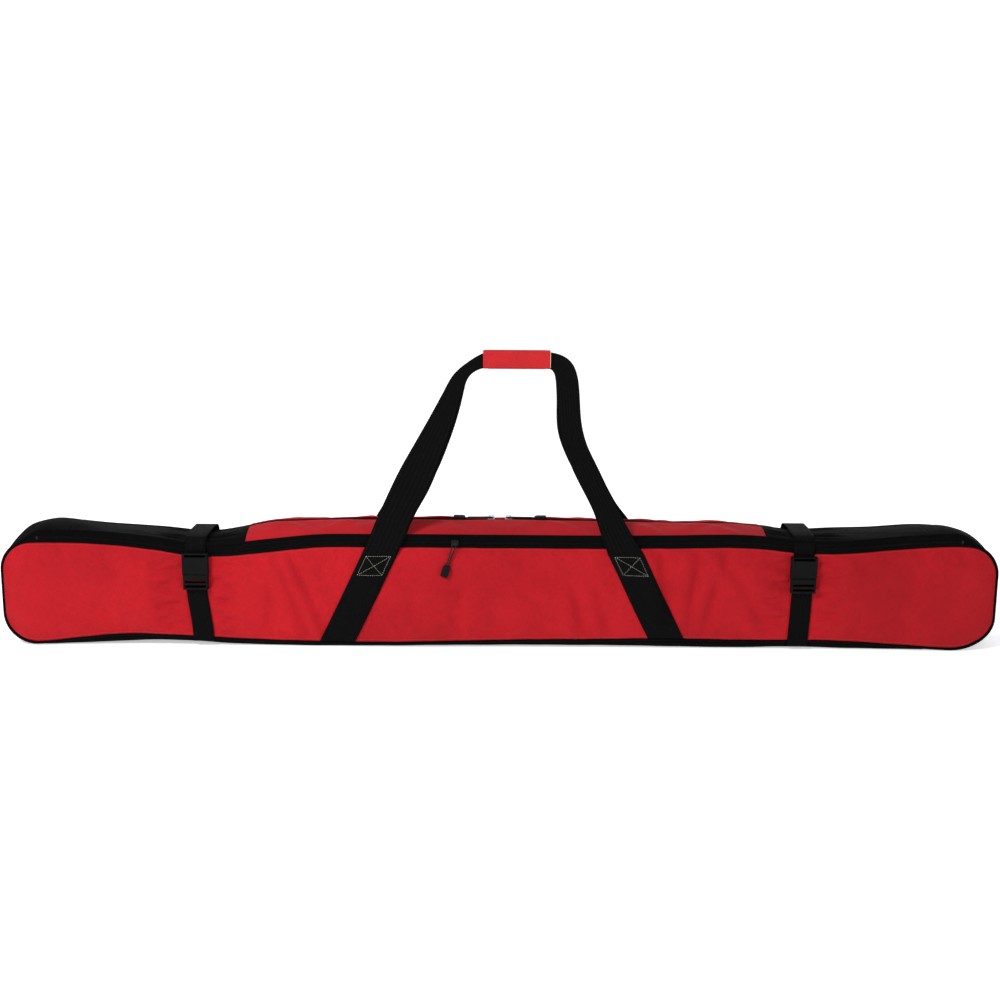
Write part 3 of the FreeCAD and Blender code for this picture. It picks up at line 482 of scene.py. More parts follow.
PLASTIC = solid(
    "buckle_plastic", (0.0012, 0.0012, 0.0014), (0.0055, 0.0055, 0.0060), (0.42, 0.62), 700.0, 0.35, specular=0.05
)
GRIP = solid(
    "grip_plastic", (0.0015, 0.0015, 0.0018), (0.0070, 0.0070, 0.0075), (0.45, 0.65), 520.0, 0.6, specular=0.06
)


# ---------------------------------------------------------------- meshes


def show(name, verts, faces, material, uv=None):
    mesh = bpy.data.meshes.new(name)
    mesh.from_pydata([tuple(v) for v in verts], [], [tuple(int(i) for i in f) for f in faces])
    if uv is not None:
        layer = mesh.uv_layers.new(name="cloth")
        corners = np.zeros(len(mesh.loops), np.int64)
        mesh.loops.foreach_get("vertex_index", corners)
        layer.data.foreach_set("uv", np.asarray(uv, np.float32)[corners].ravel())
    mesh.materials.append(material)
    mesh.polygons.foreach_set("use_smooth", [True] * len(mesh.polygons))
    mesh.update()
    made = bpy.data.objects.new(name, mesh)
    bpy.context.scene.collection.objects.link(made)
    return made


def settle(made, body, nodes=()):
    """Every piece's body and CAD solids. A piece given no body rides on none."""
    if body:
        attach(made, body)
    if nodes:
        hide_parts(*nodes)
    return made


def normals_of(points):
    n = np.cross(np.gradient(points, axis=0), np.gradient(points, axis=1))
    return n / np.maximum(np.linalg.norm(n, axis=2, keepdims=True), 1e-12)


def length_along(line):
    """How far each point of a line is from its first, along the line."""
    return np.concatenate([[0], np.cumsum(np.linalg.norm(np.diff(line, axis=0), axis=1))])


def quads(index):
    """The cells of a grid of point numbers."""
    cells = [index[:-1, :-1].ravel(), index[1:, :-1].ravel(), index[1:, 1:].ravel(), index[:-1, 1:].ravel()]
    return np.stack(cells, axis=1)


def between_grids(outer, inner):
    """The points and faces of a closed sheet between two grids."""
    rows, cols = outer.shape[:2]
    count = rows * cols
    index = np.arange(count).reshape(rows, cols)
    rim = np.concatenate([index[:, 0], index[-1, 1:], index[-2::-1, -1], index[0, -2:0:-1]])
    after = np.roll(rim, -1)
    front = quads(index)
    side = np.stack([after, rim, rim + count, after + count], axis=1)
    verts = np.concatenate([outer.reshape(-1, 3), inner.reshape(-1, 3)])
    return verts, np.concatenate([front, front[:, ::-1] + count, side])


def cloth_mesh(name, points, thickness, material, outward):
    """A closed, thin piece of cloth from a grid of points on its outer side.

    outward is a rough direction, or a grid of them.
    """
    points = np.asarray(points, float)
    rows, cols = points.shape[:2]
    n = normals_of(points)
    flip = np.sum(n * np.asarray(outward, float)) < 0
    if flip:
        n = -n
    verts, faces = between_grids(points, points - n * thickness)
    along, over = length_along(points[:, cols // 2]), length_along(points[rows // 2])
    uv = np.stack(np.meshgrid(along, over, indexing="ij"), axis=2).reshape(-1, 2)
    return show(name, verts, faces[:, ::-1] if flip else faces, material, np.concatenate([uv, uv]))


def bag_cloth(name, points, thickness, material, outward, node):
    """Cloth on the bag's own body, in place of one CAD solid."""
    return settle(cloth_mesh(name, points, thickness, material, outward), "bag", [node])


def tube_along(name, line, radius, material, closed=False, sides=10, squash=1.0, up=(0, 1, 0)):
    """A piped edge that follows a line of points."""
    line = np.asarray(line, float)
    if closed:
        tangent = np.roll(line, -1, axis=0) - np.roll(line, 1, axis=0)
    else:
        tangent = np.gradient(line, axis=0)
    tangent /= np.maximum(np.linalg.norm(tangent, axis=1, keepdims=True), 1e-9)
    side = np.cross(tangent, np.asarray(up, float))
    side /= np.maximum(np.linalg.norm(side, axis=1, keepdims=True), 1e-9)
    top = np.cross(side, tangent)
    turn = np.linspace(0, 2 * math.pi, sides, endpoint=False)
    ring = line[:, None] + radius * (
        np.cos(turn)[None, :, None] * side[:, None] + squash * np.sin(turn)[None, :, None] * top[:, None]
    )
    count = len(line)
    index = np.arange(count * sides).reshape(count, sides)
    faces = []
    for i in range(count if closed else count - 1):
        j = (i + 1) % count
        for k in range(sides):
            m = (k + 1) % sides
            faces.append((index[i, k], index[i, m], index[j, m], index[j, k]))
    if not closed:
        faces += [tuple(index[0, ::-1]), tuple(index[-1])]
    uv = np.stack(np.meshgrid(length_along(line), turn * radius, indexing="ij"), axis=2).reshape(-1, 2)
    return show(name, ring.reshape(-1, 3), faces, material, uv)


def resample(line, step):
    """The same line with its points a step apart."""
    line = np.asarray(line, float)
    run = length_along(line)
    at = np.linspace(0, run[-1], max(2, int(run[-1] / step) + 1))
    return np.stack([np.interp(at, run, line[:, k]) for k in range(3)], axis=1)


STITCH_STEP = 0.0005  # how finely a row of stitches follows its line
# one stitch, from end to end: share of its length, rise and size, both in thread radii
SPINDLE = ((0.0, -0.25, 0.45), (0.28, 0.35, 1.0), (0.72, 0.35, 1.0), (1.0, -0.25, 0.45))
SPINDLE_SIDES = 5


def stitches(name, lines, normal, material, body, slot, length=0.0030, gap=0.0013, thick=0.00045):
    """Rows of single stitches, each a short spindle that dips at both ends."""
    verts, faces = [], []
    pitch, span = int((length + gap) / STITCH_STEP), int(length / STITCH_STEP)
    n = np.asarray(normal, float)
    for line in lines:
        points = resample(line, STITCH_STEP)
        for start in range(0, len(points) - span, pitch):
            t = points[start + span] - points[start]
            t = t / max(np.linalg.norm(t), 1e-9)
            up = n - np.dot(n, t) * t
            up = up / max(np.linalg.norm(up), 1e-9)
            side = np.cross(t, up)
            base = len(verts)
            for share, rise, size in SPINDLE:
                middle = points[start + int(share * span)] + up * rise * thick
                for k in range(SPINDLE_SIDES):
                    turn = 2 * math.pi * k / SPINDLE_SIDES
                    verts.append(middle + size * thick * (math.cos(turn) * side + math.sin(turn) * up))
            rings = base + np.arange(len(SPINDLE) * SPINDLE_SIDES).reshape(len(SPINDLE), SPINDLE_SIDES)
            for ring, following in zip(rings[:-1], rings[1:]):
                for k in range(SPINDLE_SIDES):
                    m = (k + 1) % SPINDLE_SIDES
                    faces.append((ring[k], ring[m], following[m], following[k]))
            faces.append(tuple(rings[0, ::-1]))
            faces.append(tuple(rings[-1]))
    return settle(show(name, verts, faces, material), body)


# ---------------------------------------------------------------- camera and cords

camera = bpy.data.objects.new("camera", bpy.data.cameras.new("camera"))
bpy.context.scene.collection.objects.link(camera)
bpy.context.scene.camera = camera
camera.data.sensor_width = 36.0
camera.data.lens = 58.0
camera.data.clip_end = 50.0
AIM = Vector((0.0, 0.0, 0.265))
DISTANCE, ELEVATION, ROLL = 3.003, math.radians(13.5), math.radians(0.37)
back = Vector((0.0, -math.cos(ELEVATION), math.sin(ELEVATION)))
camera.rotation_mode = "QUATERNION"
camera.location = AIM + back * DISTANCE
camera.rotation_quaternion = (-back).to_track_quat("-Z", "Y") @ Matrix.Rotation(ROLL, 3, "Z").to_quaternion()

# the pull's route in part.py, sideways and along, from the bail's wire
PULL_ROUTE = [
    (0.0015, -0.044), (0.0015, -0.028), (0.0024, -0.014), (0.0032, -0.005), (0.0029, 0.0027),
    (-0.0029, 0.0027), (-0.0032, -0.005), (-0.0024, -0.014), (-0.0015, -0.028), (-0.0015, -0.044),
]
PULL_CORD = 0.0024
TILT = math.radians(18)
SIDEWAYS, ALONG = (math.cos(TILT), 0, -math.sin(TILT)), (math.sin(TILT), 0, math.cos(TILT))
PULLS = [
    ("front_pull", (-0.082, -0.08275, 0.2019), SIDEWAYS, ALONG, "hanging"),
    ("top_left_pull", (-0.016, 0, 0.23165), (0, 1, 0), (1, 0, 0), "loose"),
    ("top_right_pull", (0.016, 0, 0.23165), (0, 1, 0), (-1, 0, 0), "loose"),
]


def pull_cord(body, origin, sideways, along, lay):
    data = bpy.data.curves.new(body + "_braid", "CURVE")
    data.dimensions = "3D"
    spline = data.splines.new("NURBS")
    spline.points.add(len(PULL_ROUTE) - 1)
    route = [Vector(origin) + Vector(sideways) * s + Vector(along) * a for s, a in PULL_ROUTE]
    for point, place in zip(spline.points, route):
        point.co = (*place, 1.0)
    spline.order_u = 3
    spline.use_endpoint_u = True
    spline.resolution_u = 12
    data.bevel_depth = PULL_CORD / 2
    data.bevel_resolution = 4
    data.use_fill_caps = True
    data.materials.append(CORD)
    made = bpy.data.objects.new(body + "_braid", data)
    bpy.context.scene.collection.objects.link(made)
    settle(made, body, [body + "_cord"])


for pull in PULLS:
    pull_cord(*pull)


# ---------------------------------------------------------------- the bag's shell

FACE_ROWS = 36
SIM_COLUMNS = 22  # how many of a face's rows the simulated cloth has
SIM_FRAMES = 18
SIM_CAP = 0.006  # how far the simulation may move a point
FACE_CAP = 0.0870  # how far from the middle a face may reach
ACROSS = (np.linspace(0, 1, 49) + (1 - np.cos(np.linspace(0, math.pi, 49))) / 2) / 2


def face_grid(xs, low, high, depth, outward):
    """A face between its lower and upper edge, as a grid of points."""
    v = (1 - np.cos(np.linspace(0, math.pi, FACE_ROWS))) / 4 + np.linspace(0, 1, FACE_ROWS) / 2
    x = np.repeat(xs[:, None], FACE_ROWS, axis=1)
    z = low(xs)[:, None] * (1 - v) + high(xs)[:, None] * v
    return np.stack([x, outward * depth(x, z), z], axis=2)


def cloth_settings(work):
    """The simulated cloth: cut 1% large, held by its pins and blown out softly."""
    cloth = work.modifiers.new("cloth", "CLOTH")
    s = cloth.settings
    s.quality = 7
    s.mass = 0.25
    s.tension_stiffness = s.compression_stiffness = 12
    s.shear_stiffness = 6
    s.bending_stiffness = 0.25
    s.tension_damping = s.compression_damping = 12
    s.vertex_group_mass = "held"
    s.pin_stiffness = 40
    s.shrink_min = s.shrink_max = -0.010
    s.use_pressure = True
    s.uniform_pressure_force = 0.35
    s.effector_weights.gravity = 0.0
    cloth.collision_settings.use_self_collision = False
    cloth.point_cache.frame_start = 1
    cloth.point_cache.frame_end = SIM_FRAMES


def relaxed(points, outward):
    """What a cloth simulation adds to a face.

    The face is held at its seams and straps, and the wrinkles that it takes are added to the finer grid.
    """
    cols = np.unique(np.linspace(0, points.shape[1] - 1, SIM_COLUMNS).round().astype(int))
    coarse = points[:, cols]
    index = np.arange(coarse.shape[0] * coarse.shape[1]).reshape(coarse.shape[:2])
    start = coarse.copy()
    x, z = start[..., 0].copy(), start[..., 2].copy()
    start[..., 1] += outward * 0.0006 * np.sin(61 * x + 83 * z) * np.sin(47 * z + 29 * x)
    flat = start.reshape(-1, 3)
    mesh = bpy.data.meshes.new("relaxing")
    mesh.from_pydata([tuple(v) for v in flat], [], [tuple(int(i) for i in f) for f in quads(index)])
    work = bpy.data.objects.new("relaxing", mesh)
    bpy.context.scene.collection.objects.link(work)
    pins = work.vertex_groups.new(name="held")
    edge = set(index[0]) | set(index[-1]) | set(index[:, 0]) | set(index[:, -1])
    for i, place in enumerate(flat):
        hold = 1.0 if i in edge else max(float(bell(place[0], s, 0.024)) for s in STRAPS)
        if hold > 0.02:
            pins.add([i], min(1.0, hold), "REPLACE")
    cloth_settings(work)
    for number in range(1, SIM_FRAMES + 1):
        bpy.context.scene.frame_set(number)
    seen = work.evaluated_get(bpy.context.evaluated_depsgraph_get())
    end = np.zeros(index.size * 3)
    seen.data.vertices.foreach_get("co", end)
    move = end.reshape(coarse.shape) - coarse
    bpy.context.scene.frame_set(1)
    bpy.data.objects.remove(work)
    move = move * np.minimum(1.0, SIM_CAP / np.maximum(np.linalg.norm(move, axis=2, keepdims=True), 1e-9))
    full = np.zeros_like(points)
    for k in range(3):
        for i in range(points.shape[0]):
            full[i, :, k] = np.interp(np.arange(points.shape[1]), cols, move[i, :, k])
    smooth = full.copy()
    smooth[:, 1:-1] = (full[:, :-2] + 2 * full[:, 1:-1] + full[:, 2:]) / 4
    return points + smooth


def creased(points, outward, low, high, folds, phase):
    """The folds that the simulation pulled flat are put back in part."""
    x, z = points[..., 0], points[..., 2]
    rows = up_the_face(x, z, low(x), high(x))
    depth = np.abs(points[..., 1]) + 0.55 * creases(x, z, rows, folds, phase)
    out, cap = np.maximum(depth - SEAM, 0), FACE_CAP - SEAM
    depth = depth - out + out / (1 + (out / cap) ** 6) ** (1 / 6)
    depth = np.where(rows > 0.02, np.maximum(depth, SEAM + REAR_SKIN), np.abs(points[..., 1]))
    points[..., 1] = outward * depth
    return points


def clear_of_pull(points):
    """Along the front pull's travel the cloth stays behind it."""
    x, y, z = points[..., 0], points[..., 1], points[..., 2]
    travel = soft_step((x + 0.235) / 0.040) * soft_step((0.240 - x) / 0.040) * soft_step((z - 0.100) / 0.030)
    skin = SEAM + FRONT_SKIN
    room = 0.0786 - skin
    out = -y - skin
    points[..., 1] = -(skin + out * (1 - travel) + room * np.tanh(out / room) * travel)
    return points


face_x = columns(PANEL_END, 0.0055)
front_points = relaxed(face_grid(face_x, panel_bottom, panel_top, front_depth, -1), -1)
front_points = creased(front_points, -1, panel_bottom, panel_top, FRONT_FOLDS, FRONT_PHASE)
front_points = clear_of_pull(front_points)
rear_points = relaxed(face_grid(face_x, rear_low, rear_high, rear_depth, 1), 1)
rear_points = creased(rear_points, 1, rear_low, rear_high, REAR_FOLDS, REAR_PHASE)
bag_cloth("front_panel_cloth", front_points, CLOTH, RED, (0, -1, 0), "front_panel")
bag_cloth("rear_panel_cloth", rear_points, CLOTH, BLACK, (0, 1, 0), "rear_panel")


def on_face(points, x, z):
    """The y of a face's cloth at a place, read from its finished grid."""
    xs = points[:, points.shape[1] // 2, 0]
    order = np.clip(np.searchsorted(xs, x) - 1, 0, len(xs) - 2)
    share = np.clip((x - xs[order]) / (xs[order + 1] - xs[order]), 0, 1)
    one = np.interp(z, points[order, :, 2], points[order, :, 1])
    two = np.interp(z, points[order + 1, :, 2], points[order + 1, :, 1])
    return float(one * (1 - share) + two * share)


# the black band over the front seam: two tapes with the coil between them
def band_tape(name, low, high, out):
    v = np.linspace(0, 1, 7)
    x = np.repeat(face_x[:, None], len(v), axis=1)
    z = low[:, None] * (1 - v) + high[:, None] * v
    y = np.full_like(z, -(SEAM + 0.0007 + out))
    bag_cloth(name + "_cloth", np.stack([x, y, z], axis=2), 0.0009, TAPE, (0, -1, 0), name)


band_low, band_high = panel_top(face_x), seam_top(face_x)
band_middle = band_low + (band_high - band_low) * (COIL_UP / BAND)
band_tape("front_zip_lower_tape", band_low - 0.0015, band_middle - 0.0002, -0.0002)
band_tape("front_zip_upper_tape", band_middle + 0.0002, band_high - 0.0006, 0.0)

COIL_WIDTH, COIL_THICK, COIL_PITCH = 0.0060, 0.0017, 0.0016
# a loop of the coil, from one side to the other: shares of its width and thickness
TOOTH = [(-0.50, 0.05), (-0.44, 0.62), (-0.16, 0.92), (0.0, 1.0), (0.16, 0.92), (0.44, 0.62), (0.50, 0.05)]
TOOTH_RIDGE = 0.22  # how much of a loop's thickness is its rounded top


def coil_teeth(node, path, up, across):
    """A zip coil: one rounded loop of thread after another, two interlocked rows."""
    line = resample(path, COIL_PITCH)
    up, across = np.asarray(up, float), np.asarray(across, float)
    verts, faces = [], []
    for i, middle in enumerate(line):
        ahead = line[min(i + 1, len(line) - 1)] - line[max(i - 1, 0)]
        t = ahead / max(np.linalg.norm(ahead), 1e-9)
        row = 1 if i % 2 else -1
        base = len(verts)
        for a, h in TOOTH:
            aside = COIL_WIDTH * (0.84 * a + row * (0.096 * (1 - abs(a) * 2) + 0.08))
            for along, ridge in ((-0.40, 0.0), (0.0, TOOTH_RIDGE), (0.40, 0.0)):
                lift = COIL_THICK * h * (1 - TOOTH_RIDGE + ridge)
                verts.append(middle + across * aside + up * lift + t * along * COIL_PITCH)
        for r in range(len(TOOTH) - 1):
            p = base + 3 * r
            faces += [(p, p + 1, p + 4, p + 3), (p + 1, p + 2, p + 5, p + 4), (p + 2, p, p + 3, p + 5)]
        last = base + 3 * (len(TOOTH) - 1)
        faces += [(base, base + 2, base + 1), (last, last + 1, last + 2)]
    settle(show(node + "_teeth", verts, faces, COIL), "bag", [node])


def zip_stop(name, place, flat, up):
    """A small rounded clamp over both rows of a coil's end."""
    u = np.linspace(-1, 1, 9)
    rise = (1 - np.abs(u) ** 5)[:, None] * (1 - np.abs(u) ** 5)[None]
    points = (
        np.asarray(place, float) + 0.0022 * u[:, None, None] * np.array([1.0, 0, 0])
        + 0.0036 * u[None, :, None] * np.asarray(flat, float) + 0.0026 * rise[..., None] * np.asarray(up, float)
    )
    bag_cloth(name + "_clamp", points, 0.0012, STOP, up, name)


coil_x = np.linspace(-BAND_END - 0.006, BAND_END + 0.006, 600)
coil_z = panel_top(coil_x) + (seam_top(coil_x) - panel_top(coil_x)) * (COIL_UP / BAND)
front_coil = np.stack([coil_x, np.full_like(coil_x, -(SEAM + 0.0006)), coil_z], axis=1)
coil_teeth("front_zip_coil", front_coil, (0, -1, 0), (0, 0, 1))
for end, side in ((0, "left"), (-1, "right")):
    zip_stop("front_zip_stop_" + side, front_coil[end], (0, 0, 1), (0, -1, 0))


# the binding round both faces
def binding(name, top, y):
    x = columns(SHELL_END, 0.006)
    up = np.stack([x, np.full_like(x, y), top(x)], axis=1)
    down = np.stack([x, np.full_like(x, y), seam_bottom(x)], axis=1)[::-1]
    right = np.linspace(up[-1], down[0], 22)[1:-1]
    left = np.linspace(down[-1], up[0], 22)[1:-1]
    loop = np.concatenate([up, right, down, left, up[:1]])
    even = resample(loop, 0.006)[:-1]
    made = tube_along(name + "_binding", even, BINDING, BIND, closed=True, squash=1.05)
    settle(made, "bag", [name + "_piping"])


binding("front", seam_top, -SEAM)
binding("rear", rear_seam_top, SEAM)


# the gusset between the two seams
def top_grid(xs, w0, w1, count, lift=0.0):
    """The top between two shares of its depth."""
    w = np.linspace(w0, w1, count)
    x = np.repeat(xs[:, None], count, axis=1)
    y = -SEAM + 2 * SEAM * np.repeat(w[None, :], len(xs), axis=0)
    return np.stack([x, y, top_height(x, (y + SEAM) / (2 * SEAM)) + lift], axis=2)


def gusset_lines(xs, front, rear, across, rise_at, power_at, up):
    """Lines across the gusset that turn with the rounded corner, from the front seam to the rear seam."""
    out = []
    w = ACROSS[:, None]
    for x in xs:
        share = float(corner(x, SHELL_END, float(across(x))))
        rise = rise_at(x) * (1 - share**2) + 0.0012 * share
        n = np.array([math.copysign(share, x), 0, up * math.sqrt(max(0.0, 1 - share**2))])
        flat = np.array([x, -SEAM, float(front(x))]) * (1 - w) + np.array([x, SEAM, float(rear(x))]) * w
        out.append(flat + n * rise * (1 - np.abs(2 * w - 1) ** power_at(share)))
    return out


def top_rise(x):
    return float(crest(x) - (red_top(x) + band(x) + rear_top(x) + REAR_RISE) / 2)


def bottom_drop(x):
    return max(float(red_bottom(x)) - BINDING - SEAM_GAP - float(underside(x)), 0.0)


def ring_top(xs):
    """Over the top, and over the corner down to the end wall."""
    return gusset_lines(xs, seam_top, rear_seam_top, lambda x: 0.058, top_rise, lambda share: 2.2 + 1.8 * share, 1)


def ring_bottom(xs):
    """Under the bottom, which is almost flat."""
    return gusset_lines(xs, seam_bottom, seam_bottom, across_bottom, bottom_drop, lambda share: 30, -1)


def end_grid(side):
    """An end gusset: over the upper corner, down the end wall and round the lower corner."""
    xs = columns(SHELL_END, 0.006)
    xs = np.concatenate([[END_SEAM], xs[xs > END_SEAM + 0.002]])
    upper = ring_top(xs * side)
    lower = ring_bottom(xs * side)[::-1]
    first, last = upper[-1], lower[0]
    wall = [first * (1 - t) + last * t for t in np.linspace(0, 1, 16)[1:-1]]
    return np.array(upper + wall + lower)


def wrinkled(points, amount, phase):
    """Small soft creases along the cloth's own normal."""
    n = normals_of(points)
    x, y, z = points[..., 0], points[..., 1], points[..., 2]
    fade = 1 - np.abs(2 * np.linspace(0, 1, points.shape[1]) - 1) ** 6
    crease = np.sin(58 * x + 33 * y + 71 * z + phase) * np.sin(29 * y - 44 * z + 19 * x + 2 * phase)
    return points + n * (amount * crease * fade)[..., None]


for side, name in ((-1, "left"), (1, "right")):
    points = wrinkled(end_grid(side), 0.0006, 0.7 + side)
    outward = points - np.array([side * 0.80, 0, 0.10])
    node = name + "_end_gusset"
    bag_cloth(node + "_cloth", points, CLOTH, BLACK, outward, node)
for name, start, end in (("left", -END_SEAM, RED_LEFT), ("right", RED_RIGHT, END_SEAM)):
    points = top_grid(columns(SHELL_END, 0.005, start, end), 0, 1, 41)
    node = name + "_top_gusset"
    bag_cloth(node + "_cloth", points, CLOTH, BLACK, (0, 0, 1), node)


# place, lean, width and height of the folds across the red top
TOP_FOLDS = [
    (-0.41, 0.03, 0.018, 0.0020), (-0.35, -0.05, 0.014, 0.0026), (-0.29, 0.06, 0.016, 0.0022),
    (-0.24, -0.04, 0.012, 0.0018), (-0.15, 0.07, 0.020, 0.0018), (-0.06, -0.05, 0.016, 0.0014),
    (0.05, 0.06, 0.020, 0.0016), (0.15, -0.07, 0.015, 0.0022), (0.23, 0.05, 0.013, 0.0026),
    (0.29, -0.04, 0.015, 0.0020), (0.36, 0.05, 0.016, 0.0024), (0.43, -0.06, 0.016, 0.0020),
]


def flutter(points, side, phase):
    """The strips' free edges lift and wander beside the zip."""
    w = np.linspace(0, 1, points.shape[1])
    x = points[..., 0]
    near = soft_step((w - 0.55) / 0.45)
    ends = soft_step((x - RED_LEFT) / 0.08) * soft_step((RED_RIGHT - x) / 0.08)
    wave = 0.5 + 0.5 * np.sin(27 * x + phase) * np.sin(11 * x + 2 * phase)
    points[..., 2] += 0.0026 * near * wave * ends * (0.35 + 0.65 * bell(x, -0.02, 0.22))
    points[..., 1] += side * 0.0026 * near * (wave - 0.2) * ends
    middle = 1 - np.abs(2 * w - 1) ** 3
    for place, lean, width, height in TOP_FOLDS:
        line = place + side * 0.02 + lean * (w - 0.4)
        points[..., 2] += height * middle * ends * (bell(x, line, width) - 0.6 * bell(x, line + 1.8 * width, width))
    return points


middle_x = columns(SHELL_END, 0.005, RED_LEFT, RED_RIGHT)
edge_share = (SEAM - 0.0100) / (2 * SEAM)  # the strips' free edges
tape_share = (SEAM - 0.016) / (2 * SEAM)  # the tapes' outer edges, under the strips
middle_share = (SEAM - 0.0003) / (2 * SEAM)  # the tapes' inner edges, beside the coil
front_strip = flutter(top_grid(middle_x, 0, edge_share, 26, lift=0.0011), -1, 0.9)
rear_strip = flutter(top_grid(middle_x, 1, 1 - edge_share, 26, lift=0.0011), 1, 2.3)
bag_cloth("top_red_front_cloth", front_strip, 0.0013, RED, (0, 0, 1), "top_gusset_front")
bag_cloth("top_red_rear_cloth", rear_strip, 0.0013, RED, (0, 0, 1), "top_gusset_rear")
for name, outer, inner in (("front", tape_share, middle_share), ("rear", 1 - tape_share, 1 - middle_share)):
    points = top_grid(middle_x, outer, inner, 6)
    node = "top_zip_" + name + "_tape"
    bag_cloth(node + "_cloth", points, 0.0008, TAPE, (0, 0, 1), node)
coil_low, coil_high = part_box("top_zip_coil")
coil_x = np.linspace(coil_low.x, coil_high.x, 400)
coil_z = top_height(coil_x, np.full_like(coil_x, 0.5)) - 0.0001
top_coil = np.stack([coil_x, np.zeros_like(coil_x), coil_z], axis=1)
coil_teeth("top_zip_coil", top_coil, (0, 0, 1), (0, 1, 0))
for end, side in ((0, "left"), (-1, "right")):
    zip_stop("top_zip_stop_" + side, top_coil[end], (0, 1, 0), (0, 0, 1))

bottom_x = columns(SHELL_END, 0.006, -END_SEAM, END_SEAM)
bottom_points = wrinkled(np.array(ring_bottom(bottom_x)), 0.0004, 1.9)
bottom_points[..., 2] = np.maximum(bottom_points[..., 2], 0.0003)
bag_cloth("bottom_gusset_cloth", bottom_points, CLOTH, BLACK, (0, 0, -1), "bottom_gusset")


# ---------------------------------------------------------------- inside: foam and the divider


FOAM_THICK = 0.005


def spread(along, across):
    """Two rows of numbers spread over one grid."""
    return np.repeat(along[:, None], len(across), 1), np.repeat(across[None], len(along), 0)


def slab(node, outer, inner, material):
    """A sheet of foam between two grids."""
    verts, faces = between_grids(outer, inner)
    made = settle(show(node + "_sheet", verts, faces, material, verts[:, [0, 2]]), "bag", [node])


def foam_behind(face, node, sign):
    """A foam sheet of one thickness that follows the inside of a face."""
    low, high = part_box(node)
    xs = np.linspace(low.x + 0.012, high.x - 0.012, 150)
    outer = np.zeros((len(xs), 14, 3))
    for i, x in enumerate(xs):
        under, over = float(panel_bottom(x)) + 0.012, float(min(panel_top(x), rear_seam_top(x))) - 0.012
        for j, v in enumerate(np.linspace(0, 1, 14)):
            z = under * (1 - v) + over * v
            near = [abs(on_face(face, x + a, z + b)) for a in (-0.012, 0, 0.012) for b in (-0.008, 0, 0.008)]
            outer[i, j] = (x, min(near), z)
    depth = outer[..., 1].copy()
    depth[1:-1] = np.minimum(depth[1:-1], (depth[:-2] + depth[1:-1] + depth[2:]) / 3)
    depth -= 0.0030
    inner = outer.copy()
    outer[..., 1], inner[..., 1] = sign * depth, sign * (depth - FOAM_THICK)
    slab(node, outer, inner, FOAM)


foam_behind(front_points, "front_foam", -1)
foam_behind(rear_points, "rear_foam", 1)

low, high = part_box("base_foam")
foam_x = np.linspace(low.x + 0.02, high.x - 0.02, 120)
x, y = spread(foam_x, np.linspace(low.y + 0.004, high.y - 0.004, 14))
z = np.maximum(underside(x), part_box("bottom_gusset")[0].z) + 0.0025 + 0.004 * (np.abs(y) / SEAM) ** 8
foam_under = np.stack([x, y, z], axis=2)
slab("base_foam", foam_under + np.array([0, 0, FOAM_THICK]), foam_under, FOAM_BASE)


def height_at(ring, y):
    """The height of a line across the gusset, at the point nearest to y."""
    return ring[np.argmin(np.abs(ring[:, 1] - y)), 2]


low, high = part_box("divider")
divider_y = (low.y + high.y) / 2
divider_x = np.linspace(low.x + 0.006, high.x - 0.006, 150)
divider_top = np.array([height_at(ring, divider_y) for ring in ring_top(divider_x)]) - 0.0025
divider_foot = np.array([height_at(ring, divider_y) for ring in ring_bottom(divider_x)]) + 0.010
divider_foot = np.maximum(divider_foot, 0.012)
x, v = spread(divider_x, np.linspace(0, 1, 12))
y = divider_y + 0.002 * np.sin(17 * x) * np.sin(math.pi * v)
z = divider_foot[:, None] * (1 - v) + divider_top[:, None] * v
bag_cloth("divider_cloth_sheet", np.stack([x, y, z], axis=2), 0.0009, LINING, (0, -1, 0), "divider")


# ---------------------------------------------------------------- webbing


def sewn_webbing(node, top_left, bottom_left, width, face, sign):
    """Carry webbing that is sewn down on a face, from the handle's root to the bottom seam."""
    rows, cols = 60, 11
    points = np.zeros((rows, cols, 3))
    for j, t in enumerate(np.linspace(0, 1, cols)):
        x0, x1 = top_left + width * t, bottom_left + width * t
        low = float(panel_bottom(x1)) + 0.0005
        for i, s in enumerate(np.linspace(0, 1, rows)):
            x = x0 + (x1 - x0) * s
            z = STITCH_TOP + (low - STITCH_TOP) * s
            points[i, j] = (x, sign * (abs(on_face(face, x, z)) + WEB + 0.0004), z)
    smooth = points[..., 1].copy()
    for _ in range(3):
        smooth[1:-1] = (smooth[:-2] + 2 * smooth[1:-1] + smooth[2:]) / 4
        smooth[:, 1:-1] = (smooth[:, :-2] + 2 * smooth[:, 1:-1] + smooth[:, 2:]) / 4
    points[..., 1] = sign * np.maximum(np.abs(smooth), np.abs(points[..., 1]) - 0.0003)
    bag_cloth(node + "_sewn", points, WEB, WEBBING, (0, sign, 0), node)
    return points


def across_grid(points, u, v):
    """A point on a grid, u along its rows and v along its columns, both 0 to 1."""
    i, j = u * (points.shape[0] - 1), v * (points.shape[1] - 1)
    i0, j0 = min(int(i), points.shape[0] - 2), min(int(j), points.shape[1] - 2)
    a, b = i - i0, j - j0
    return (
        points[i0, j0] * (1 - a) * (1 - b) + points[i0 + 1, j0] * a * (1 - b)
        + points[i0, j0 + 1] * (1 - a) * b + points[i0 + 1, j0 + 1] * a * b
    )


def grid_line(points, start, end, count):
    """A straight line across a grid, from one (u, v) to another."""
    (u0, v0), (u1, v1) = start, end
    return [across_grid(points, u0 + (u1 - u0) * t, v0 + (v1 - v0) * t) for t in np.linspace(0, 1, count)]


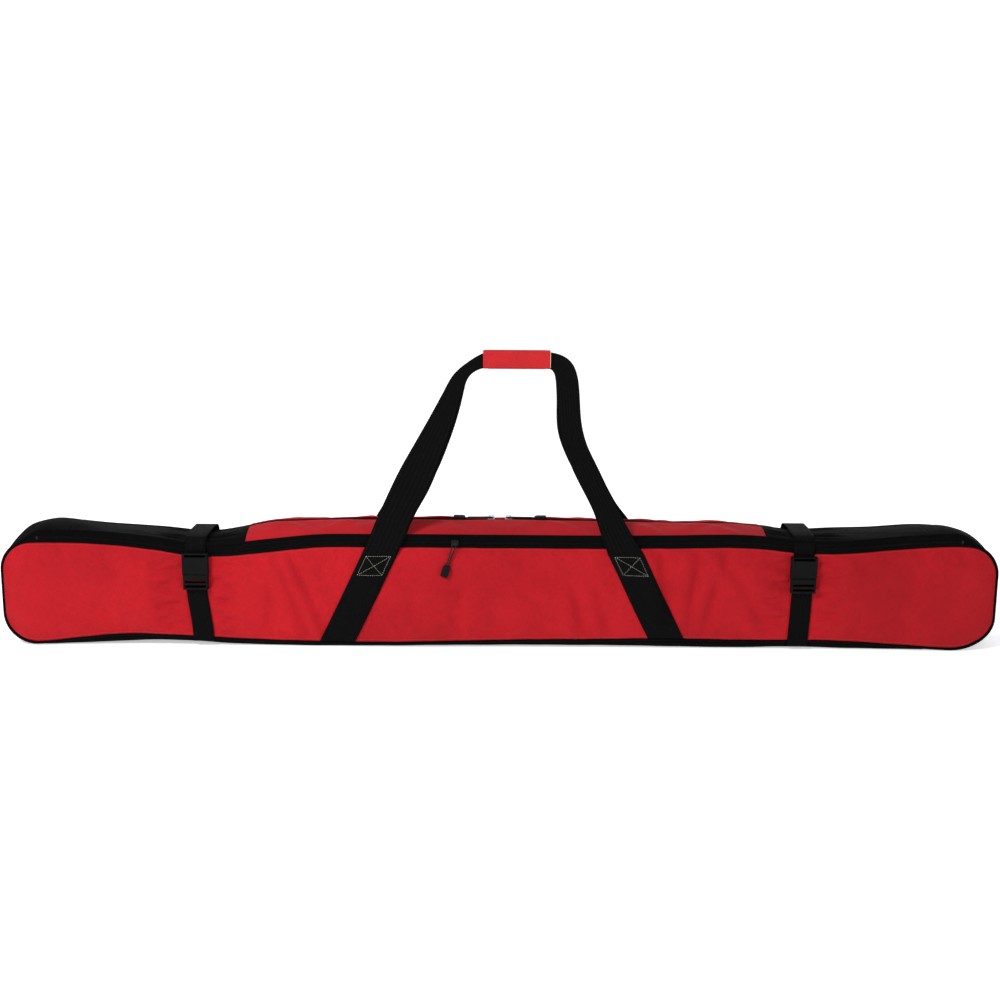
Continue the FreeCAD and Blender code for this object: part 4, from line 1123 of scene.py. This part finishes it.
def box_stitch(name, points, sign):
    """The box with a cross in it, and a row down each edge."""
    lift = 0.0001 if sign < 0 else 0.0005  # the rear webbing's folds stand higher between its points
    lifted = points + np.array([0, sign * lift, 0])
    top, low, near, far = 0.045, 0.245, 0.15, 0.84
    corners = [(top, near), (top, far), (low, far), (low, near)]
    pairs = [(0, 1), (1, 2), (2, 3), (3, 0), (0, 2), (1, 3)]
    lines = [grid_line(lifted, corners[a], corners[b], 40) for a, b in pairs]
    stitches(name + "_box_stitch", lines, (0, sign, 0), STITCH_PALE, "bag", "webbing", 0.0022, 0.0018, 0.00025)
    edges = [grid_line(lifted, (low, v), (0.99, v), 90) for v in (0.055, 0.945)]
    stitches(name + "_edge_stitch", edges, (0, sign, 0), STITCH_BLACK, "bag", "webbing", 0.0030, 0.0012, 0.00032)


# the sewn webbings: left edge at the top and at the foot, and width
SEWN = [("left", -0.2505, -0.3320, 0.0655), ("right", 0.1975, 0.2755, 0.0660)]
FACES = (("front", front_points, -1), ("rear", rear_points, 1))
for side, top_left, bottom_left, width in SEWN:
    for name, face, sign in FACES:
        label = name + "_" + side + "_webbing"
        box_stitch(label, sewn_webbing(label, top_left, bottom_left, width, face, sign), sign)

# the free handle loops: matched points on the outer and inner edge, seen from the front
LOOP_OUTER = [
    (-0.2530, 0.179), (-0.2505, 0.184), (-0.2345, 0.222), (-0.2178, 0.261), (-0.2050, 0.289), (-0.1840, 0.332),
    (-0.1590, 0.375), (-0.1340, 0.418), (-0.1100, 0.461), (-0.0980, 0.483), (-0.0860, 0.504), (-0.0680, 0.518),
    (-0.0500, 0.531), (-0.0340, 0.541), (0.0300, 0.5425), (0.0880, 0.5430), (0.1020, 0.5430), (0.1235, 0.534),
    (0.1375, 0.516), (0.1420, 0.494), (0.1450, 0.455), (0.1475, 0.418), (0.1560, 0.383), (0.1750, 0.345),
    (0.2030, 0.289), (0.2175, 0.261), (0.2395, 0.222), (0.2635, 0.184), (0.2665, 0.179),
]
LOOP_INNER = [
    (-0.1875, 0.179), (-0.1850, 0.184), (-0.1685, 0.222), (-0.1510, 0.261), (-0.1335, 0.289), (-0.1145, 0.332),
    (-0.0990, 0.375), (-0.0840, 0.418), (-0.0710, 0.461), (-0.0655, 0.483), (-0.0590, 0.500), (-0.0495, 0.5065),
    (-0.0400, 0.512), (-0.0300, 0.5145), (0.0300, 0.5145), (0.0860, 0.5145), (0.0930, 0.5140), (0.0975, 0.508),
    (0.1010, 0.494), (0.1030, 0.479), (0.1065, 0.447), (0.1090, 0.410), (0.1150, 0.378), (0.1330, 0.332),
    (0.1560, 0.289), (0.1705, 0.261), (0.1835, 0.222), (0.1975, 0.184), (0.1995, 0.179),
]
LOOP_WIDTH = 0.057
LOOP_FLAT = 0.985  # the share of its width that shows where the webbing isn't folded


def resampled(line, run, count):
    """A smooth line through given points, which are at the places in run along it."""
    at = np.linspace(0, run[-1], count)
    return np.stack([curve_through(list(zip(run, column)))(at) for column in line.T], axis=1)


def loop_lines(count):
    """Both edges, resampled smoothly along the loop, and how much of the webbing's width shows."""
    outer, inner = np.array(LOOP_OUTER), np.array(LOOP_INNER)
    run = length_along((outer + inner) / 2)
    outer, inner = resampled(outer, run, count), resampled(inner, run, count)
    along = np.gradient((outer + inner) / 2, axis=0)
    along /= np.linalg.norm(along, axis=1, keepdims=True)
    across = outer - inner
    level = np.abs(across[:, 0] * along[:, 1] - across[:, 1] * along[:, 0])
    shown = np.clip(level / LOOP_WIDTH, 0.5, LOOP_FLAT)
    for _ in range(60):
        shown[1:-1] = (shown[:-2] + 2 * shown[1:-1] + shown[2:]) / 4
        outer[1:-1] = (outer[:-2] + 6 * outer[1:-1] + outer[2:]) / 8
        inner[1:-1] = (inner[:-2] + 6 * inner[1:-1] + inner[2:]) / 8
    return outer, inner, shown


def lean(z, root):
    """How far the loop is from the middle plane at a height."""
    t = np.clip((z - 0.214) / (0.517 - 0.214), 0, 1)
    return root + (0.0050 - root) * (0.82 * t + 0.18 * soft_step(t))


def handle_loop(node, face, sign):
    """A loop of webbing, whose inner part folds back behind it where the loop is narrower than the webbing."""
    outer, inner, shown = loop_lines(260)
    seen, hidden = 14, 7  # points across the part that shows, and across the part that is folded behind
    foot = STITCH_TOP - 0.002
    roots = [abs(on_face(face, x, foot)) + WEB + 0.0006 for x in (-0.2178, 0.2308)]
    points = np.zeros((len(outer), seen + hidden, 3))
    for i in range(len(outer)):
        root = roots[0] if outer[i, 0] + inner[i, 0] < 0 else roots[1]
        folded = min(1.0, 6 * (LOOP_FLAT - shown[i]))
        tucked = 1 - np.linspace(0, (1 - shown[i]) / shown[i], hidden + 1)[1:]
        for j, share in enumerate(np.concatenate([np.linspace(0, 1, seen), tucked])):
            x, z = outer[i] * (1 - share) + inner[i] * share
            up = soft_step((z - 0.200) / 0.050)
            if sign > 0:  # the rear loop stands a little nearer to the middle
                x -= math.copysign(0.006, x) * up * soft_step((0.520 - z) / 0.150)
            behind = (0.0032 if j >= seen else 0.0) * (0.15 + 0.85 * folded)
            ripple = 0.0007 * math.sin(34 * z + 3 * share + 2 * sign) * up * (1 - 0.7 * folded)
            depth = lean(z, root) - behind + ripple
            if z < 0.197:
                depth = max(depth, abs(on_face(face, x, z)) + WEB + 0.0004)
            points[i, j] = (x, sign * depth, z)
    made = settle(cloth_mesh(node + "_webbing", points, 0.0014, WEBBING, (0, sign, 0)), None, [node])
    root = (roots[0] + roots[1]) / 2
    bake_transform(made)


for name, face, sign in FACES:
    handle_loop(name + "_handle", face, sign)


# the compression straps' line round the bag, from the front's foot up, over, down the rear and under
STRAP_LINE = [
    (-0.0769, 0.0072), (-0.0769, 0.060), (-0.0768, 0.120), (-0.0769, 0.180), (-0.0764, 0.198), (-0.0725, 0.2095),
    (-0.0630, 0.2150), (-0.0480, 0.2168), (-0.0200, 0.2168), (0.0200, 0.2150), (0.0480, 0.2120), (0.0630, 0.2070),
    (0.0720, 0.1990), (0.0762, 0.186), (0.0769, 0.168), (0.0768, 0.100), (0.0769, 0.030), (0.0755, 0.0100),
    (0.0690, 0.0024), (0.0560, 0.0008), (0.0, 0.0006), (-0.0560, 0.0008), (-0.0690, 0.0022), (-0.0752, 0.0060),
    (-0.0768, 0.0105),
]


def strap_section(drop, foot):
    """That line with its top lower by drop and its foot higher by foot."""
    line = np.array(STRAP_LINE)
    line[:, 1] += foot * soft_step((0.030 - line[:, 1]) / 0.030) - drop * soft_step((line[:, 1] - 0.170) / 0.040)
    return resampled(line, length_along(line), 300).T


def strap_piece(name, node, middle, y, z, lean_x):
    """One length of compression webbing that follows a stretch of the line."""
    row, u = spread(np.arange(len(y)), np.linspace(-0.5, 0.5, 9))
    y, z = y[row], z[row]
    edge = 1 - np.abs(2 * u) ** 4
    x = middle + lean_x(z) + u * 0.038 + 0.0006 * np.sin(60 * z + 20 * y) * (0.3 + edge)
    points = np.stack([x, y, z], axis=2)
    outward = points - np.array([middle, 0, 0.105])
    outward[..., 0] = 0
    bag_cloth(name, points, 0.0015, WEBBING, outward, node)


STRAP_SHAPES = (("left", STRAPS[0], 0.0085, 0.0065, left_lean), ("right", STRAPS[1], 0.0, 0.0035, right_lean))
for side, middle, drop, foot, lean_x in STRAP_SHAPES:
    y, z = strap_section(drop, foot)
    start = np.argmax((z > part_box(side + "_strap_loop")[0].z) & (z > 0.168))  # in the socket
    end = np.argmax(z > 0.1245) + 1  # in the plug
    loop, run = side + "_strap_loop", side + "_strap_front_run"
    strap_piece(loop + "_webbing", loop, middle, y[start:], z[start:], lean_x)
    strap_piece(side + "_strap_front_webbing", run, middle, y[:end], z[:end], lean_x)


# end handles: webbing sewn down at both ends, standing off in the middle
for side, name in ((-1, "left"), (1, "right")):
    node = name + "_end_handle"
    low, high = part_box(node)
    inner_x, outer_x = sorted((abs(low.x), abs(high.x)))
    y, z = spread(np.linspace(low.y, high.y, 70), np.linspace(low.z, high.z, 9))
    rise = soft_step((0.0560 - np.abs(y)) / 0.022)
    x = side * (inner_x + 0.0020 + (outer_x - inner_x - 0.0022) * rise)
    points = np.stack([x, y, z + 0.0012 * np.sin(40 * y) * rise], axis=2)
    bag_cloth(node + "_webbing", points, 0.0017, WEBBING, (side, 0, 0), node)
    rows = []
    for y0, y1 in ((-0.0640, -0.0585), (0.0585, 0.0640)):
        a, b, c, d = (
            (side * (inner_x + 0.0021), y, z) for y in (y0, y1) for z in (low.z + 0.004, high.z - 0.004)
        )
        rows += [[a, b], [c, d], [a, c], [b, d]]
    stitches(node + "_stitch", rows, (side, 0, 0), STITCH_BLACK, "bag", "webbing")

low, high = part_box("base_tab")
y, x = spread(np.linspace(low.y, high.y, 40), np.linspace(low.x, high.x, 9))
z = low.z + 0.0003 - 0.0002 * np.sin(60 * y) ** 2
bag_cloth("base_tab_webbing", np.stack([x, y, z], axis=2), -0.0013, WEBBING, (0, 0, 1), "base_tab")


# ---------------------------------------------------------------- the grip's wrap

wrap_low, wrap_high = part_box("grip_wrap")
flap_low, flap_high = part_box("wrap_flap")
WRAP_MIDDLE = (wrap_low.z + wrap_high.z) / 2
WRAP_HALF = (wrap_high.z - wrap_low.z) / 2
THREAD = (0.0024, 0.0011, 0.0003)  # the wrap's stitches: length, gap and thickness


def wrap_points():
    """A padded sleeve, open at the back: its section is a rounded C."""
    turn = np.linspace(math.radians(62), math.radians(298), 46)
    xs = np.linspace(wrap_low.x, wrap_high.x, 64)
    points = np.zeros((len(xs), len(turn), 3))
    for i, x in enumerate(xs):
        share = (x - wrap_low.x) / (wrap_high.x - wrap_low.x)
        bulge = math.sin(math.pi * share)
        edges = bell(share, 0.0, 0.03) + bell(share, 1.0, 0.03)
        seams = bell(share, 0.055, 0.018) + bell(share, 0.945, 0.018)
        hem = 1 - 0.06 * edges - 0.05 * seams
        puff = 1 + 0.035 * bulge + 0.018 * math.sin(23 * share + 1) * bulge
        for j, a in enumerate(turn):
            c, s = math.cos(a), math.sin(a)
            y = 0.0078 * math.copysign(abs(c) ** 0.62, c) - 0.0004
            z = WRAP_HALF * math.copysign(abs(s) ** 0.52, s)
            crease = 1 + 0.02 * math.sin(5 * a + 19 * share) * bulge
            up = WRAP_MIDDLE + z * (hem * 0.5 + 0.5) * (0.985 + 0.015 * puff)
            points[i, j] = (x, min(y * puff * hem * crease, 0.0049), up)
    return points


def flap_points():
    """The flap that closes the sleeve, fullest in the middle."""
    x, z = spread(
        np.linspace(flap_low.x + 0.0005, flap_high.x - 0.0005, 48),
        np.linspace(flap_low.z + 0.0015, flap_high.z - 0.0010, 18),
    )
    u, v = spread(np.abs(2 * np.linspace(0, 1, 48) - 1), np.abs(2 * np.linspace(0, 1, 18) - 1))
    y = 0.0061 + 0.0016 * (1 - u**8) * (1 - v**4) + 0.0002 * np.sin(90 * x) * np.sin(140 * z)
    return np.stack([x, y, z], axis=2)


sleeve, flap = wrap_points(), flap_points()
outward = sleeve - np.array([0, 0, WRAP_MIDDLE])
outward[..., 0] = 0
wrap = settle(
    cloth_mesh("grip_wrap_pad", sleeve, 0.0018, RED_WRAP, outward), "front_handle", ["grip_wrap"]
)
cover = settle(
    cloth_mesh("wrap_flap_pad", flap, 0.0011, RED_WRAP, (0, 1, 0)), "wrap_flap", ["wrap_flap"]
)

lines = [grid_line(sleeve, (u, 0.04), (u, 0.96), 60) for u in (0.035, 0.965)]
stitches("grip_wrap_stitch", lines, (0, -1, 0.2), STITCH_RED, "front_handle", "red_wrap", *THREAD)
hem_line = np.array(grid_line(sleeve, (0.999, 0.02), (0.999, 0.98), 60)) + np.array([0.0002, 0, 0])
hem = tube_along("grip_wrap_pale_edge", hem_line, 0.0004, STITCH_PALE, up=(1, 0, 0), sides=8)
settle(hem, "front_handle")
lines = [grid_line(flap, (0.03, v), (0.97, v), 40) for v in (0.10, 0.90)]
lines += [grid_line(flap, (u, 0.10), (u, 0.90), 20) for u in (0.03, 0.97)]
stitches("wrap_flap_stitch", lines, (0, 1, 0), STITCH_RED, "wrap_flap", "red_wrap", *THREAD)


# ---------------------------------------------------------------- seams' top stitching

SEAM_THREAD = (0.0030, 0.0014, 0.0003)
lines = [grid_line(front_points, (0.03, v), (0.97, v), 900) for v in (0.97525, 0.0385)]
stitches("front_panel_stitch", lines, (0, -1, 0), STITCH_RED, "bag", "red_panel", *SEAM_THREAD)
lines = [grid_line(strip, (0.01, 0.90), (0.99, 0.90), 500) for strip in (front_strip, rear_strip)]
stitches("top_red_stitch", lines, (0, 0, 1), STITCH_RED, "bag", "red_top", *SEAM_THREAD)


# ---------------------------------------------------------------- the kept CAD pieces

KEPT = [
    (METAL, ["top_left_zip_slider", "top_right_zip_slider"]),
    (DARK_METAL, ["front_zip_slider"]),
    (GRIP, ["front_pull_grip", "top_left_pull_grip", "top_right_pull_grip"]),
    (PLASTIC, ["left_buckle_socket", "right_buckle_socket", "left_buckle_plug", "right_buckle_plug"]),
]
for finish, names in KEPT:
    for name in names:
        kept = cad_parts[name]
        kept.data.materials.clear()
        kept.data.materials.append(finish)


# ---------------------------------------------------------------- floor, light and sky

# a floor that curves up into a pale backdrop all round: its radius and height, ring by ring
profile = [(2.5, 0.0), (5.0, 0.0), (7.0, 0.0)]
profile += [(7.0 + 2.0 * math.sin(t), 2.0 - 2.0 * math.cos(t)) for t in np.linspace(0.1, math.pi / 2, 12)]
profile += [(9.0, 3.0)]
TURNS = np.arange(96) * 2 * math.pi / 96
floor_verts = [(r * math.cos(turn), r * math.sin(turn), z) for r, z in profile for turn in TURNS]
rings = np.arange(len(floor_verts)).reshape(len(profile), len(TURNS))
floor_faces = [tuple(rings[0])]
for ring, wider in zip(rings[:-1], rings[1:]):
    floor_faces += list(zip(ring, wider, np.roll(wider, -1), np.roll(ring, -1)))
pale = Nodes("pale_floor")
where = pale.where()
mottle = pale.noise(where, 3.0, 4.0)
pale_colour = pale.blend(mottle, rgba(0.88, 0.88, 0.88), rgba(0.93, 0.93, 0.93))
pale.finish(
    pale_colour, pale.between(mottle, 0.6, 0.75), mottle, 0.02, 0.001,
    **{"Emission Color": rgba(1.0, 1.0, 1.0), "Emission Strength": 0.48},
)
floor = show("floor", floor_verts, floor_faces, pale.material)

bpy.context.scene.view_settings.view_transform = "Standard"
world = bpy.data.worlds.new("soft_sky")
bpy.context.scene.world = world
world.use_nodes = True
sky = world.node_tree.nodes["Background"].inputs
sky["Color"].default_value = rgba(0.98, 0.99, 1.0)
sky["Strength"].default_value = 0.46


def lamp(name, place, target, size, power):
    data = bpy.data.lights.new(name, "AREA")
    data.shape = "RECTANGLE"
    data.size, data.size_y = size
    data.energy = power
    made = bpy.data.objects.new(name, data)
    made.location = place
    made.rotation_mode = "QUATERNION"
    made.rotation_quaternion = (Vector(target) - Vector(place)).to_track_quat("-Z", "Y")
    bpy.context.scene.collection.objects.link(made)


lamp("key", (-1.7, -2.1, 2.4), (-0.1, 0, 0.12), (0.9, 0.7), 96)
lamp("fill", (2.4, -2.4, 1.0), (0, 0, 0.15), (1.6, 1.6), 9)
lamp("over", (0.2, 0.9, 2.6), (0, 0, 0.1), (2.6, 1.0), 16)
